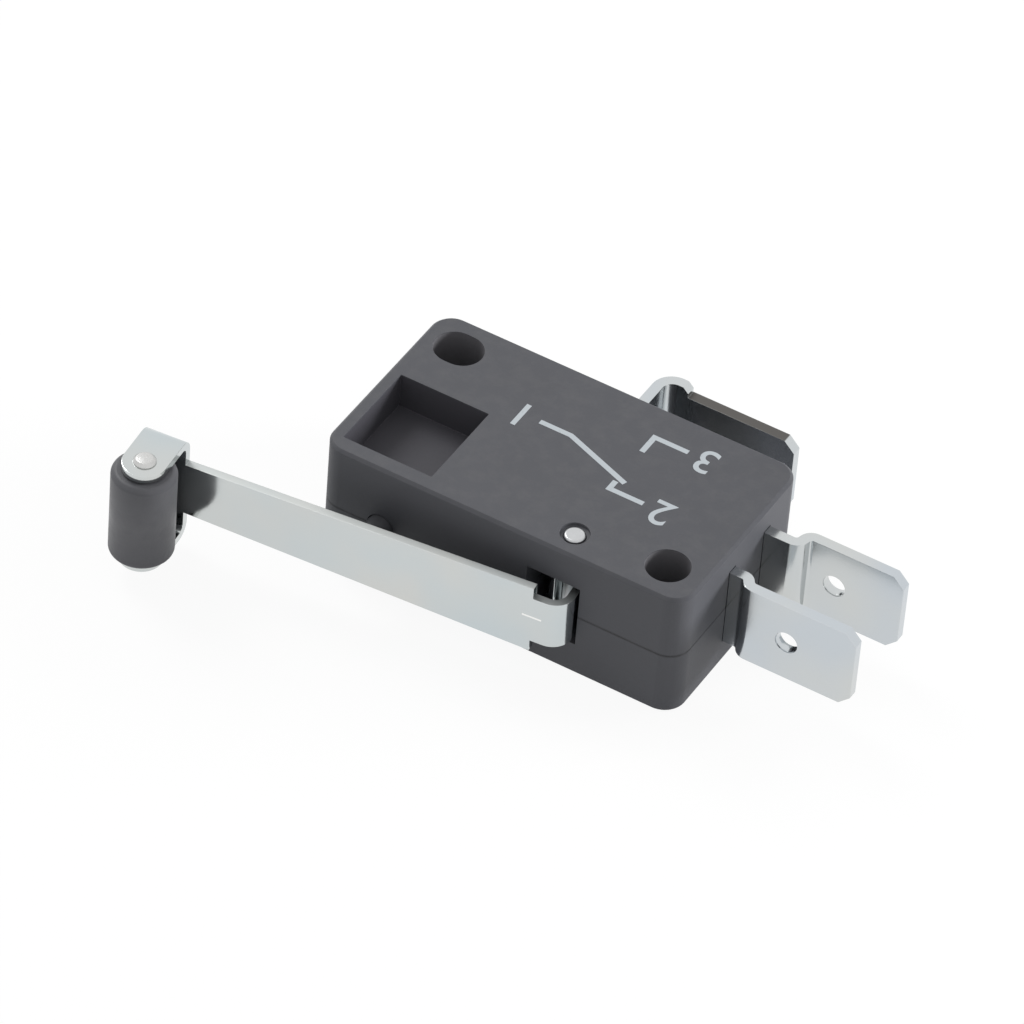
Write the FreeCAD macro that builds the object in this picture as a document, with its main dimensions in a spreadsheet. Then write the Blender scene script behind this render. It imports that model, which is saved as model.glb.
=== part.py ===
import FreeCAD, Part
import math
import os
import Sketcher

Vector = FreeCAD.Vector

# Snap-action lever switch of the common 27.8 x 15.9 x 10.3 mm format, in millimetres.
# It lies on its big face: Z runs through its thickness, X along its length towards the terminals,
# and -Y is the side of the plunger and the roller lever. The origin is the axis of the round
# mounting hole, on the face that the switch rests on.

doc = FreeCAD.newDocument("lever_switch")
sizes = doc.addObject("Spreadsheet::Sheet", "sizes")

DRIVING_SIZES = {
    # Case, and the two mounting holes that its data-sheet places are measured from
    "case_length": 27.8,
    "case_depth": 15.9,
    "case_thickness": 10.3,
    "corner_radius": 1.6,
    "edge_chamfer": 0.22,
    "hole_inset": 2.8,
    "pitch_length": 22.2,
    "pitch_depth": 10.3,
    "hole_diameter": 3.1,
    "oval_extra": 0.5,
    "side_wall": 1.3,
    "floor_wall": 1.2,
    "boss_wall": 0.85,
    "cut_margin": 1.0,
    # Moulded pocket in the cover
    "pocket_length": 6.85,
    "pocket_breadth": 7.4,
    "pocket_sink": 2.8,
    "pocket_from_left": 0.95,
    "pocket_from_front": 1.3,
    "pocket_wall": 0.8,
    # Lever hinge and the recess that the knuckle turns in
    "hinge_from_hole": 6.6,
    "hinge_inset": 2.0,
    "pin_diameter": 1.5,
    "pin_fit": 0.03,
    "pin_sink": 0.06,
    "pin_ring": 0.28,
    "pin_ring_depth": 0.25,
    "pin_end_chamfer": 0.12,
    "recess_room": 0.35,
    "recess_left": 2.3,
    "recess_height": 5.0,
    "recess_wall": 0.9,
    # Lever: a folded strip with a fork for the roller
    "lever_angle": 5.2,
    "strip_thickness": 0.6,
    "strip_width": 5.6,
    "strip_end_width": 4.2,
    "strip_offset": 3.55,
    "bend_radius": 0.9,
    "knuckle_width": 3.8,
    "knuckle_shoulder": 1.0,
    "knuckle_gap": 0.05,
    "knuckle_wrap": 250,
    "hinge_to_roller": 28.2,
    "roller_offset": 3.35,
    "fork_height": 8.7,
    "ear_width": 3.1,
    "fork_bend": 1.1,
    # Roller and its riveted axle
    "roller_diameter": 4.5,
    "roller_gap": 0.1,
    "roller_chamfer": 0.3,
    "axle_diameter": 1.2,
    "axle_gap": 0.06,
    "axle_head": 1.6,
    "axle_head_height": 0.3,
    "axle_head_slope": 0.22,
    # Plunger
    "plunger_from_hole": 20.1,
    "plunger_diameter": 1.9,
    "plunger_gap": 0.06,
    "tip_dome_share": 0.42,
    "plunger_foot_chamfer": 0.45,
    "collar_diameter": 2.6,
    "collar_thickness": 0.9,
    "touch_gap": 0.08,
    "rocker_touch": 0.16,
    # Rocker that the plunger pushes, and its pin
    "rocker_pin_from_hole": 9.6,
    "rocker_pin_height": 3.4,
    "rocker_pin_diameter": 1.3,
    "rocker_thickness": 0.4,
    "rocker_width": 2.5,
    "rocker_tail": 0.8,
    "rocker_wrap": 250,
    "lug_from_pin": 5.8,
    "lug_width": 1.6,
    "lug_reach": 4.2,
    "hook_hole": 0.9,
    "hook_bar": 0.45,
    # Contact blade, its knife-edge seat and the spring that snaps it over
    "seat_from_hole": 18.6,
    "seat_height": 7.2,
    "seat_gap": 0.12,
    "blade_thickness": 0.3,
    "blade_width": 4.4,
    "blade_tail": 0.7,
    "contact_from_wall": 4.51,
    "blade_nose": 1.6,
    "nose_round": 0.95,
    "window_start": 2.0,
    "window_to_contact": 4.8,
    "window_width": 2.6,
    "spring_radius": 0.85,
    "spring_wire": 0.3,
    "spring_pitch": 0.85,
    "spring_hook": 0.55,
    # Contacts
    "contact_diameter": 2.6,
    "contact_shank": 1.4,
    "contact_slope": 0.45,
    "fixed_slope": 0.18,
    "contact_touch": 0.15,
    "contact_fit": 0.03,
    "contact_button": 0.8,
    "closed_button": 0.336052,
    "contact_gap": 0.7,
    "upset_height": 0.35,
    "upset_diameter": 2.05,
    # Terminals
    "terminal_thickness": 0.8,
    "tab_width": 6.3,
    "tab_chamfer": 0.8,
    "tab_hole": 1.65,
    "tab_hole_from_end": 5.05,
    "shoulder_length": 0.9,
    "inner_width": 6.0,
    "slot_gap": 0.05,
    "tab_reach": 10.0,
    "closed_height": 3.3,
    "closed_jog": 0.7,
    "closed_jog_end": 2.0,
    "open_height": 9.8,
    "open_jog": 1.15,
    "open_jog_end": 3.15,
    "jog_radius": 0.65,
    "inner_reach": 1.6,
    "common_from_hole": 9.9,
    "common_offset": 4.1,
    "common_bend": 0.8,
    "common_shoulder": 0.75,
    "shoulder_chamfer": 0.4,
    "inner_bend": 0.25,
    "inner_room": 0.3,
    "common_tab_reach": 10.25,
}


def fill_sheet():
    for row, (name, value) in enumerate(DRIVING_SIZES.items(), start=1):
        sizes.set(f"A{row}", name)
        sizes.set(f"B{row}", str(value))
        sizes.setAlias(f"B{row}", name)
    doc.recompute()


fill_sheet()

# Places that several pieces share, as expressions on the sheet
CASE_LEFT = "(-sizes.pitch_length - sizes.hole_inset)"
CASE_RIGHT = f"({CASE_LEFT} + sizes.case_length)"
CASE_FRONT = "(-sizes.hole_inset)"
CASE_BACK = f"({CASE_FRONT} + sizes.case_depth)"
CASE_CENTRE = (f"(({CASE_LEFT} + {CASE_RIGHT}) / 2)", f"(({CASE_FRONT} + {CASE_BACK}) / 2)")
SEAM = "(sizes.case_thickness / 2)"
CAVITY_HALF = f"({SEAM} - sizes.floor_wall)"
SHOULDER_WIDTH = f"(2 * {CAVITY_HALF} - 2 * sizes.slot_gap)"
HINGE = ("(-sizes.hinge_from_hole)", f"({CASE_FRONT} + sizes.hinge_inset)")
ROUND_HOLE = ("0", "0")
OVAL_HOLE = ("(-sizes.pitch_length)", "sizes.pitch_depth")
LEVER_TURN = "(sizes.lever_angle * 1 deg)"
KNUCKLE_RADIUS = "(sizes.pin_diameter / 2 + sizes.knuckle_gap + sizes.strip_thickness / 2)"
KNUCKLE_OUTER = f"({KNUCKLE_RADIUS} + sizes.strip_thickness / 2)"
ROLLER_DROP = "(sizes.strip_offset + sizes.roller_offset)"
ROLLER = (
    f"({HINGE[0]} - sizes.hinge_to_roller * cos({LEVER_TURN}) + {ROLLER_DROP} * sin({LEVER_TURN}))",
    f"({HINGE[1]} - sizes.hinge_to_roller * sin({LEVER_TURN}) - {ROLLER_DROP} * cos({LEVER_TURN}))",
)
PLUNGER_X = "(-sizes.plunger_from_hole)"
STRIP_BACK = (
    f"({HINGE[1]} - (sizes.plunger_from_hole - sizes.hinge_from_hole) * tan({LEVER_TURN})"
    f" - (sizes.strip_offset - sizes.strip_thickness / 2) / cos({LEVER_TURN}))"
)
PLUNGER_TIP = f"({STRIP_BACK} + sizes.touch_gap)"
INNER_FRONT = f"({CASE_FRONT} + sizes.side_wall)"
INNER_BACK = f"({CASE_BACK} - sizes.side_wall)"
ROCKER_PIN = ("(-sizes.rocker_pin_from_hole)", "sizes.rocker_pin_height")
ROCKER_RADIUS = "(sizes.rocker_pin_diameter / 2 + sizes.knuckle_gap + sizes.rocker_thickness / 2)"
ROCKER_ARM_Y = f"({ROCKER_PIN[1]} - {ROCKER_RADIUS})"
ROCKER_FACE = f"({ROCKER_ARM_Y} - sizes.rocker_thickness / 2)"
BLADE_SEAT = ("(-sizes.seat_from_hole)", "sizes.seat_height")
CLOSED_INNER_Y = "(sizes.closed_height + sizes.closed_jog)"
OPEN_INNER_Y = "(sizes.open_height - sizes.open_jog)"
CLOSED_FACE = f"({CLOSED_INNER_Y} + sizes.terminal_thickness / 2 + sizes.closed_button)"
BUTTON_REACH = "(sizes.blade_thickness / 2 + sizes.contact_button)"
CONTACT_X = f"({CASE_RIGHT} - sizes.side_wall - sizes.contact_from_wall)"
CONTACT_Y = f"({CLOSED_FACE} + sizes.contact_touch + {BUTTON_REACH})"
OPEN_FACE = f"({CONTACT_Y} + {BUTTON_REACH} + sizes.contact_gap)"
BLADE_TURN = f"(-atan(({BLADE_SEAT[1]} - {CONTACT_Y}) / ({CONTACT_X} - {BLADE_SEAT[0]})))"
BLADE_TO_CONTACT = f"(({CONTACT_X} - {BLADE_SEAT[0]}) / cos({BLADE_TURN}))"
LUG_BAR_Y = f"({ROCKER_ARM_Y} + sizes.lug_reach - sizes.hook_bar / 2)"
WINDOW_END = f"({BLADE_TO_CONTACT} - sizes.window_to_contact)"
BLADE_BAR = f"({WINDOW_END} + sizes.hook_bar / 2)"
TAB_END = f"({CASE_RIGHT} + sizes.tab_reach)"
COMMON_TAB_Y = f"({CASE_BACK} + sizes.common_offset)"
COMMON_X = "(-sizes.common_from_hole)"


def value(expression):
    """Gives the number that an expression on the sheet stands for."""
    result = sizes.evalExpression(expression)
    return float(result.Value) if hasattr(result, "Value") else float(result)


def new_body(name, at=("0", "0", "0"), turn=None):
    """Starts a sub-part; its Placement follows the sheet."""
    body = doc.addObject("PartDesign::Body", name)
    body.Label = name
    if turn:
        body.Placement.Rotation = FreeCAD.Rotation(Vector(0, 0, 1), 1)
        body.setExpression("Placement.Rotation.Angle", turn)
    for axis, place in zip("xyz", at):
        body.setExpression(f"Placement.Base.{axis}", place)
    return body


def new_sketch(body, name, plane, offset):
    """Puts an empty sketch on one of the body's origin planes, shifted by three expressions."""
    sketch = body.newObject("Sketcher::SketchObject", name)
    origin_plane = next(item for item in body.Origin.OriginFeatures if item.Role == plane)
    sketch.AttachmentSupport = [(origin_plane, "")]
    sketch.MapMode = "FlatFace"
    for axis, shift in zip("xyz", offset):
        sketch.setExpression(f"AttachmentOffset.Base.{axis}", shift)
    return sketch


def bind(sketch, constraint, name, expression):
    """Adds a dimension to a sketch and ties it to the sheet."""
    index = sketch.addConstraint(constraint)
    sketch.renameConstraint(index, name)
    sketch.setExpression(f"Constraints.{name}", expression)


def rectangle(body, name, plane, offset, width, height):
    """Draws a rectangle centred on the sketch's own origin."""
    sketch = new_sketch(body, name, plane, offset)
    half_width = value(width) / 2
    half_height = value(height) / 2
    corners = [
        Vector(-half_width, -half_height, 0),
        Vector(half_width, -half_height, 0),
        Vector(half_width, half_height, 0),
        Vector(-half_width, half_height, 0),
    ]
    for corner, following in zip(corners, corners[1:] + corners[:1]):
        sketch.addGeometry(Part.LineSegment(corner, following), False)
    for side in range(4):
        sketch.addConstraint(Sketcher.Constraint("Coincident", side, 2, (side + 1) % 4, 1))
    sketch.addConstraint(Sketcher.Constraint("Horizontal", 0))
    sketch.addConstraint(Sketcher.Constraint("Vertical", 1))
    sketch.addConstraint(Sketcher.Constraint("Horizontal", 2))
    sketch.addConstraint(Sketcher.Constraint("Vertical", 3))
    sketch.addConstraint(Sketcher.Constraint("Symmetric", 0, 1, 2, 1, -1, 1))
    bind(sketch, Sketcher.Constraint("Distance", 0, 2 * half_width), "width", width)
    bind(sketch, Sketcher.Constraint("Distance", 1, 2 * half_height), "height", height)
    return sketch


def circle(body, name, plane, offset, diameter):
    """Draws a circle round the sketch's own origin."""
    sketch = new_sketch(body, name, plane, offset)
    sketch.addGeometry(Part.Circle(Vector(0, 0, 0), Vector(0, 0, 1), value(diameter) / 2), False)
    sketch.addConstraint(Sketcher.Constraint("Coincident", 0, 3, -1, 1))
    bind(sketch, Sketcher.Constraint("Diameter", 0, value(diameter)), "diameter", diameter)
    return sketch


def oval(body, name, offset, diameter, extra):
    """Draws a hole that is longer along X by extra, centred on the sketch's own origin."""
    sketch = new_sketch(body, name, "XY_Plane", offset)
    radius = value(diameter) / 2
    half = value(extra) / 2
    up = Vector(0, 0, 1)
    right = Part.ArcOfCircle(Part.Circle(Vector(half, 0, 0), up, radius), -math.pi / 2, math.pi / 2)
    left = Part.ArcOfCircle(Part.Circle(Vector(-half, 0, 0), up, radius), math.pi / 2, 3 * math.pi / 2)
    sketch.addGeometry(right, False)
    sketch.addGeometry(left, False)
    sketch.addGeometry(Part.LineSegment(Vector(half, radius, 0), Vector(-half, radius, 0)), False)
    sketch.addGeometry(Part.LineSegment(Vector(-half, -radius, 0), Vector(half, -radius, 0)), False)
    sketch.addConstraint(Sketcher.Constraint("Tangent", 0, 2, 2, 1))
    sketch.addConstraint(Sketcher.Constraint("Tangent", 2, 2, 1, 1))
    sketch.addConstraint(Sketcher.Constraint("Tangent", 1, 2, 3, 1))
    sketch.addConstraint(Sketcher.Constraint("Tangent", 3, 2, 0, 1))
    sketch.addConstraint(Sketcher.Constraint("Horizontal", 2))
    sketch.addConstraint(Sketcher.Constraint("Symmetric", 0, 3, 1, 3, -1, 1))
    bind(sketch, Sketcher.Constraint("Distance", 2, 2 * half), "extra", extra)
    bind(sketch, Sketcher.Constraint("Radius", 0, radius), "radius", f"{diameter} / 2")
    return sketch


def tongue(body, name, offset, width, reach):
    """Draws a round-ended tongue along Y; its round end is centred on the sketch's own origin."""
    sketch = new_sketch(body, name, "XY_Plane", offset)
    radius = value(width) / 2
    length = value(reach)
    end = Part.ArcOfCircle(Part.Circle(Vector(0, 0, 0), Vector(0, 0, 1), radius), math.pi, 2 * math.pi)
    sketch.addGeometry(end, False)
    sketch.addGeometry(Part.LineSegment(Vector(radius, 0, 0), Vector(radius, length, 0)), False)
    sketch.addGeometry(Part.LineSegment(Vector(radius, length, 0), Vector(-radius, length, 0)), False)
    sketch.addGeometry(Part.LineSegment(Vector(-radius, length, 0), Vector(-radius, 0, 0)), False)
    sketch.addConstraint(Sketcher.Constraint("Coincident", 0, 3, -1, 1))
    sketch.addConstraint(Sketcher.Constraint("Tangent", 0, 2, 1, 1))
    sketch.addConstraint(Sketcher.Constraint("Coincident", 1, 2, 2, 1))
    sketch.addConstraint(Sketcher.Constraint("Coincident", 2, 2, 3, 1))
    sketch.addConstraint(Sketcher.Constraint("Tangent", 3, 2, 0, 1))
    sketch.addConstraint(Sketcher.Constraint("Vertical", 1))
    sketch.addConstraint(Sketcher.Constraint("Vertical", 3))
    sketch.addConstraint(Sketcher.Constraint("Horizontal", 2))
    bind(sketch, Sketcher.Constraint("Radius", 0, radius), "radius", f"{width} / 2")
    bind(sketch, Sketcher.Constraint("Distance", 1, length), "reach", reach)
    return sketch


def pad(body, sketch, length, reverse=False, both_ways=False):
    """Raises a sketch; the material grows along the sketch's normal, or against it."""
    feature = body.newObject("PartDesign::Pad", f"{sketch.Name}_pad")
    feature.Profile = sketch
    feature.setExpression("Length", length)
    feature.Reversed = reverse
    feature.Midplane = both_ways
    doc.recompute()
    return feature


def pocket(body, sketch, length, reverse=False, both_ways=False):
    """Cuts a sketch into the body, against its normal or along it; no length cuts right through."""
    before = body.Shape.Volume
    feature = body.newObject("PartDesign::Pocket", f"{sketch.Name}_cut")
    feature.Profile = sketch
    if length is None:
        feature.Type = "ThroughAll"
    else:
        feature.setExpression("Length", length)
    feature.Reversed = reverse
    feature.Midplane = both_ways
    doc.recompute()
    if not body.Shape.Volume < before - 1e-4:
        raise RuntimeError(f"{body.Label}: {feature.Name} removes nothing")
    return feature


def edges_where(body, test):
    """Names the edges of the body's last feature whose middle and direction pass a test."""
    shape = body.Tip.Shape
    names = []
    for number, edge in enumerate(shape.Edges, start=1):
        first, last = edge.ParameterRange
        middle = edge.valueAt((first + last) / 2)
        run = edge.valueAt(last) - edge.valueAt(first)
        if test(middle, run, edge):
            names.append(f"Edge{number}")
    if not names:
        raise RuntimeError(f"{body.Label}: no edge to dress")
    return names


def fillet(body, name, radius, test):
    chosen = (body.Tip, edges_where(body, test))
    feature = body.newObject("PartDesign::Fillet", name)
    feature.Base = chosen
    feature.setExpression("Radius", radius)
    doc.recompute()
    return feature


def chamfer(body, name, size, test):
    chosen = (body.Tip, edges_where(body, test))
    feature = body.newObject("PartDesign::Chamfer", name)
    feature.Base = chosen
    feature.setExpression("Size", size)
    doc.recompute()
    return feature


def near(first, second, tolerance=1e-3):
    return abs(first - second) < tolerance


def along(run, axis):
    """Tells whether an edge runs along one axis only."""
    others = [part for number, part in enumerate(run) if number != axis]
    return abs(run[axis]) > 1e-3 and all(abs(part) < 1e-4 for part in others)


def strip_path(body, name, start, moves):
    """Draws the centre line of a folded strip: straights (length, heading), bends (radius, to)."""
    sketch = new_sketch(body, name, "XY_Plane", start)
    point = Vector(0, 0, 0)
    heading = moves[0][2]
    laid = []
    for kind, size, towards in moves:
        length = value(size)
        if kind == "straight":
            angle = math.radians(towards)
            following = point + Vector(math.cos(angle), math.sin(angle), 0) * length
            number = sketch.addGeometry(Part.LineSegment(point, following), False)
            laid.append((number, kind, 1, 2))
        else:
            side = 1 if towards > heading else -1
            first = math.radians(heading - 90 * side)
            last = math.radians(towards - 90 * side)
            centre = point - Vector(math.cos(first), math.sin(first), 0) * length
            following = centre + Vector(math.cos(last), math.sin(last), 0) * length
            bend = Part.ArcOfCircle(
                Part.Circle(centre, Vector(0, 0, 1), length), min(first, last), max(first, last)
            )
            number = sketch.addGeometry(bend, False)
            laid.append((number, kind, 1, 2) if side > 0 else (number, kind, 2, 1))
        point = following
        heading = towards
    sketch.addConstraint(Sketcher.Constraint("Coincident", 0, 1, -1, 1))
    for one, two in zip(laid, laid[1:]):
        sketch.addConstraint(Sketcher.Constraint("Tangent", one[0], one[3], two[0], two[2]))
    heading = moves[0][2]
    for (number, kind, _, _), (_, size, towards) in zip(laid, moves):
        if kind == "straight":
            bind(sketch, Sketcher.Constraint("Distance", number, value(size)), f"length{number}", size)
            sketch.addConstraint(Sketcher.Constraint("Angle", number, math.radians(towards)))
        else:
            bind(sketch, Sketcher.Constraint("Radius", number, value(size)), f"radius{number}", size)
            if number + 1 == len(moves) or moves[number + 1][0] == "bend":
                sweep = math.radians(abs(towards - heading))
                sketch.addConstraint(Sketcher.Constraint("Angle", number, sweep))
        heading = towards
    doc.recompute()
    return sketch


def folded_strip(body, name, start, moves, thickness, width):
    """Sweeps a flat strip that stands on edge along its folded centre line."""
    path = strip_path(body, f"{name}_path", start, moves)
    section = rectangle(
        body, f"{name}_section", "YZ_Plane", (start[1], start[2], start[0]), thickness, width
    )
    pipe = body.newObject("PartDesign::AdditivePipe", name)
    pipe.Profile = section
    pipe.Spine = (path, [f"Edge{number}" for number in range(1, len(moves) + 1)])
    pipe.Transition = "Right corner"
    doc.recompute()
    return pipe


def narrow(body, name, left, right, full, kept, beyond=None):
    """Trims both long edges of a strip between two places along X, or only beyond a place along Y."""
    trim = f"(({full} - {kept}) / 2 + sizes.cut_margin)"
    for edge, sign in (("upper", "+"), ("lower", "-")):
        level = f"({SEAM} {sign} ({kept} / 2 + {trim} / 2))"
        sketch = rectangle(
            body, f"{name}_{edge}", "XZ_Plane", (f"(({left} + {right}) / 2)", level, f"(-{beyond or 0})"),
            f"({right} - {left})", trim,
        )
        pocket(body, sketch, None, both_ways=beyond is None)


def taper(body, name, left, right, wide, slim):
    """Slopes both long edges of a strip: its full width at the right, a slimmer one at the left."""
    for edge, side in (("upper", 1), ("lower", -1)):
        sketch = new_sketch(body, f"{name}_{edge}", "XZ_Plane", (right, SEAM, "0"))
        run = value(f"({right} - {left})")
        root, tip = side * value(wide) / 2, side * value(slim) / 2
        clear = root + side * value("sizes.cut_margin")
        corners = [Vector(0, root, 0), Vector(-run, tip, 0), Vector(-run, clear, 0), Vector(0, clear, 0)]
        for corner, following in zip(corners, corners[1:] + corners[:1]):
            sketch.addGeometry(Part.LineSegment(corner, following), False)
        for number in range(4):
            sketch.addConstraint(Sketcher.Constraint("Coincident", number, 2, (number + 1) % 4, 1))
        sketch.addConstraint(Sketcher.Constraint("Vertical", 1))
        sketch.addConstraint(Sketcher.Constraint("Horizontal", 2))
        sketch.addConstraint(Sketcher.Constraint("Vertical", 3))
        sketch.addConstraint(Sketcher.Constraint("PointOnObject", 0, 1, -2))
        bind(sketch, Sketcher.Constraint("Distance", 2, run), "run", f"({right} - {left})")
        bind(sketch, Sketcher.Constraint("Distance", 0, 1, -1, abs(root)), "root", f"{wide} / 2")
        bind(sketch, Sketcher.Constraint("Distance", 0, 2, -1, abs(tip)), "tip", f"{slim} / 2")
        bind(
            sketch, Sketcher.Constraint("Distance", 2, 2, -1, abs(clear)), "clear",
            f"({wide} / 2 + sizes.cut_margin)",
        )
        pocket(body, sketch, None, both_ways=True)


def shell(name, upper):
    """One half of the moulded case. Both halves are worked from the seam outwards."""
    body = new_body(name)
    outline = rectangle(
        body, f"{name}_outline", "XY_Plane", (*CASE_CENTRE, SEAM), "sizes.case_length", "sizes.case_depth"
    )
    pad(body, outline, SEAM, reverse=not upper)
    fillet(body, f"{name}_corners", "sizes.corner_radius", lambda middle, run, edge: along(run, 2))
    outer_level = value("sizes.case_thickness") if upper else 0.0
    chamfer(
        body, f"{name}_rim", "sizes.edge_chamfer",
        lambda middle, run, edge: near(middle.z, outer_level),
    )
    hollow = rectangle(
        body, f"{name}_hollow", "XY_Plane", (*CASE_CENTRE, SEAM),
        "(sizes.case_length - 2 * sizes.side_wall)", "(sizes.case_depth - 2 * sizes.side_wall)",
    )
    pocket(body, hollow, CAVITY_HALF, reverse=upper)
    raise_inside(body, name, upper)
    if upper:
        cut_cover_pocket(body)
    cut_through(body, name, upper)
    return body


def raise_inside(body, name, upper):
    """Screw bosses, the block round the hinge recess and the socket of the rocker's pin."""
    depth = f"({SEAM} - sizes.floor_wall / 2)"
    boss = "(sizes.hole_diameter + 2 * sizes.boss_wall)"
    round_boss = circle(body, f"{name}_round_boss", "XY_Plane", (*ROUND_HOLE, SEAM), boss)
    pad(body, round_boss, depth, reverse=not upper)
    oval_boss = oval(body, f"{name}_oval_boss", (*OVAL_HOLE, SEAM), boss, "sizes.oval_extra")
    pad(body, oval_boss, depth, reverse=not upper)
    left = f"({HINGE[0]} - sizes.recess_left - sizes.recess_wall)"
    right = f"({HINGE[0]} + {KNUCKLE_OUTER} + sizes.recess_room + sizes.recess_wall)"
    front = f"({CASE_FRONT} + sizes.side_wall / 2)"
    back = f"({HINGE[1]} + {KNUCKLE_OUTER} + sizes.recess_room + sizes.recess_wall)"
    block = rectangle(
        body, f"{name}_hinge_block", "XY_Plane",
        (f"(({left} + {right}) / 2)", f"(({front} + {back}) / 2)", SEAM),
        f"({right} - {left})", f"({back} - {front})",
    )
    pad(body, block, depth, reverse=not upper)


def cut_cover_pocket(body):
    """The shallow open pocket in the cover, with the plastic that walls it in from below."""
    left = f"({CASE_LEFT} + sizes.pocket_from_left)"
    front = f"({CASE_FRONT} + sizes.pocket_from_front)"
    top = "sizes.case_thickness"
    walled_length = "(sizes.pocket_length + sizes.pocket_wall)"
    walled_breadth = "(sizes.pocket_breadth + sizes.pocket_wall)"
    block = rectangle(
        body, "pocket_block", "XY_Plane",
        (f"({left} + {walled_length} / 2)", f"({front} + {walled_breadth} / 2)",
         f"({top} - sizes.pocket_sink - sizes.pocket_wall)"),
        walled_length, walled_breadth,
    )
    pad(body, block, "(sizes.pocket_sink + sizes.pocket_wall - sizes.floor_wall / 2)")
    sunk = rectangle(
        body, "cover_pocket", "XY_Plane",
        (f"({left} + sizes.pocket_length / 2)", f"({front} + sizes.pocket_breadth / 2)", top),
        "sizes.pocket_length", "sizes.pocket_breadth",
    )
    pocket(body, sunk, "sizes.pocket_sink")


def cut_through(body, name, upper):
    """Holes, the hinge recess, the plunger's bore and the slots that the terminals leave by."""
    round_hole = circle(body, f"{name}_round_hole", "XY_Plane", (*ROUND_HOLE, SEAM), "sizes.hole_diameter")
    pocket(body, round_hole, SEAM, reverse=upper)
    oval_hole = oval(
        body, f"{name}_oval_hole", (*OVAL_HOLE, SEAM), "sizes.hole_diameter", "sizes.oval_extra"
    )
    pocket(body, oval_hole, SEAM, reverse=upper)

    left = f"({HINGE[0]} - sizes.recess_left)"
    right = f"({HINGE[0]} + {KNUCKLE_OUTER} + sizes.recess_room)"
    back = f"({HINGE[1]} + {KNUCKLE_OUTER} + sizes.recess_room)"
    ahead = f"({CASE_FRONT} - sizes.cut_margin)"
    recess = rectangle(
        body, f"{name}_recess", "XY_Plane",
        (f"(({left} + {right}) / 2)", f"(({ahead} + {back}) / 2)", SEAM),
        f"({right} - {left})", f"({back} - {ahead})",
    )
    pocket(body, recess, "(sizes.recess_height / 2)", reverse=upper)

    pin_hole = circle(
        body, f"{name}_pin_hole", "XY_Plane", (*HINGE, SEAM), "(sizes.pin_diameter + 2 * sizes.pin_fit)"
    )
    pocket(body, pin_hole, SEAM, reverse=upper)
    outside = "sizes.case_thickness" if upper else "0"
    ring = circle(
        body, f"{name}_pin_ring", "XY_Plane", (*HINGE, outside),
        "(sizes.pin_diameter + 2 * sizes.pin_ring)",
    )
    pocket(body, ring, "sizes.pin_ring_depth", reverse=not upper)

    bore = circle(
        body, f"{name}_plunger_bore", "XZ_Plane", (PLUNGER_X, SEAM, f"(-{CASE_FRONT} + sizes.cut_margin)"),
        "(sizes.plunger_diameter + 2 * sizes.plunger_gap)",
    )
    pocket(body, bore, "(sizes.side_wall + 2 * sizes.cut_margin)")

    socket = circle(
        body, f"{name}_rocker_socket", "XY_Plane", (*ROCKER_PIN, SEAM),
        "(sizes.rocker_pin_diameter + 2 * sizes.pin_fit)",
    )
    pocket(body, socket, f"({CAVITY_HALF} + sizes.floor_wall / 2)", reverse=upper)

    tab_slot_depth = "(sizes.tab_width / 2 + sizes.slot_gap)"
    slot_width = "(sizes.terminal_thickness + 2 * sizes.slot_gap)"
    slot_run = "(sizes.side_wall + sizes.cut_margin)"
    end_slot_x = f"({CASE_RIGHT} - sizes.side_wall / 2)"
    for label, height in (("closed", CLOSED_INNER_Y), ("open", OPEN_INNER_Y)):
        slot = rectangle(
            body, f"{name}_{label}_slot", "XY_Plane", (end_slot_x, height, SEAM), slot_run, slot_width
        )
        pocket(body, slot, tab_slot_depth, reverse=upper)
    common_slot = rectangle(
        body, f"{name}_common_slot", "XY_Plane",
        (COMMON_X, f"({CASE_BACK} - sizes.side_wall / 2)", SEAM), slot_width, slot_run,
    )
    pocket(body, common_slot, f"({SHOULDER_WIDTH} / 2 + sizes.slot_gap)", reverse=upper)


def hinge_pin():
    """Steel pin that the lever's knuckle turns on; its ends show in the case's two big faces."""
    body = new_body("hinge_pin", (*HINGE, "sizes.pin_sink"))
    round_section = circle(body, "pin_section", "XY_Plane", ("0", "0", "0"), "sizes.pin_diameter")
    pad(body, round_section, "(sizes.case_thickness - 2 * sizes.pin_sink)")
    chamfer(body, "pin_ends", "sizes.pin_end_chamfer", lambda middle, run, edge: near(run.Length, 0))
    return body


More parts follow.
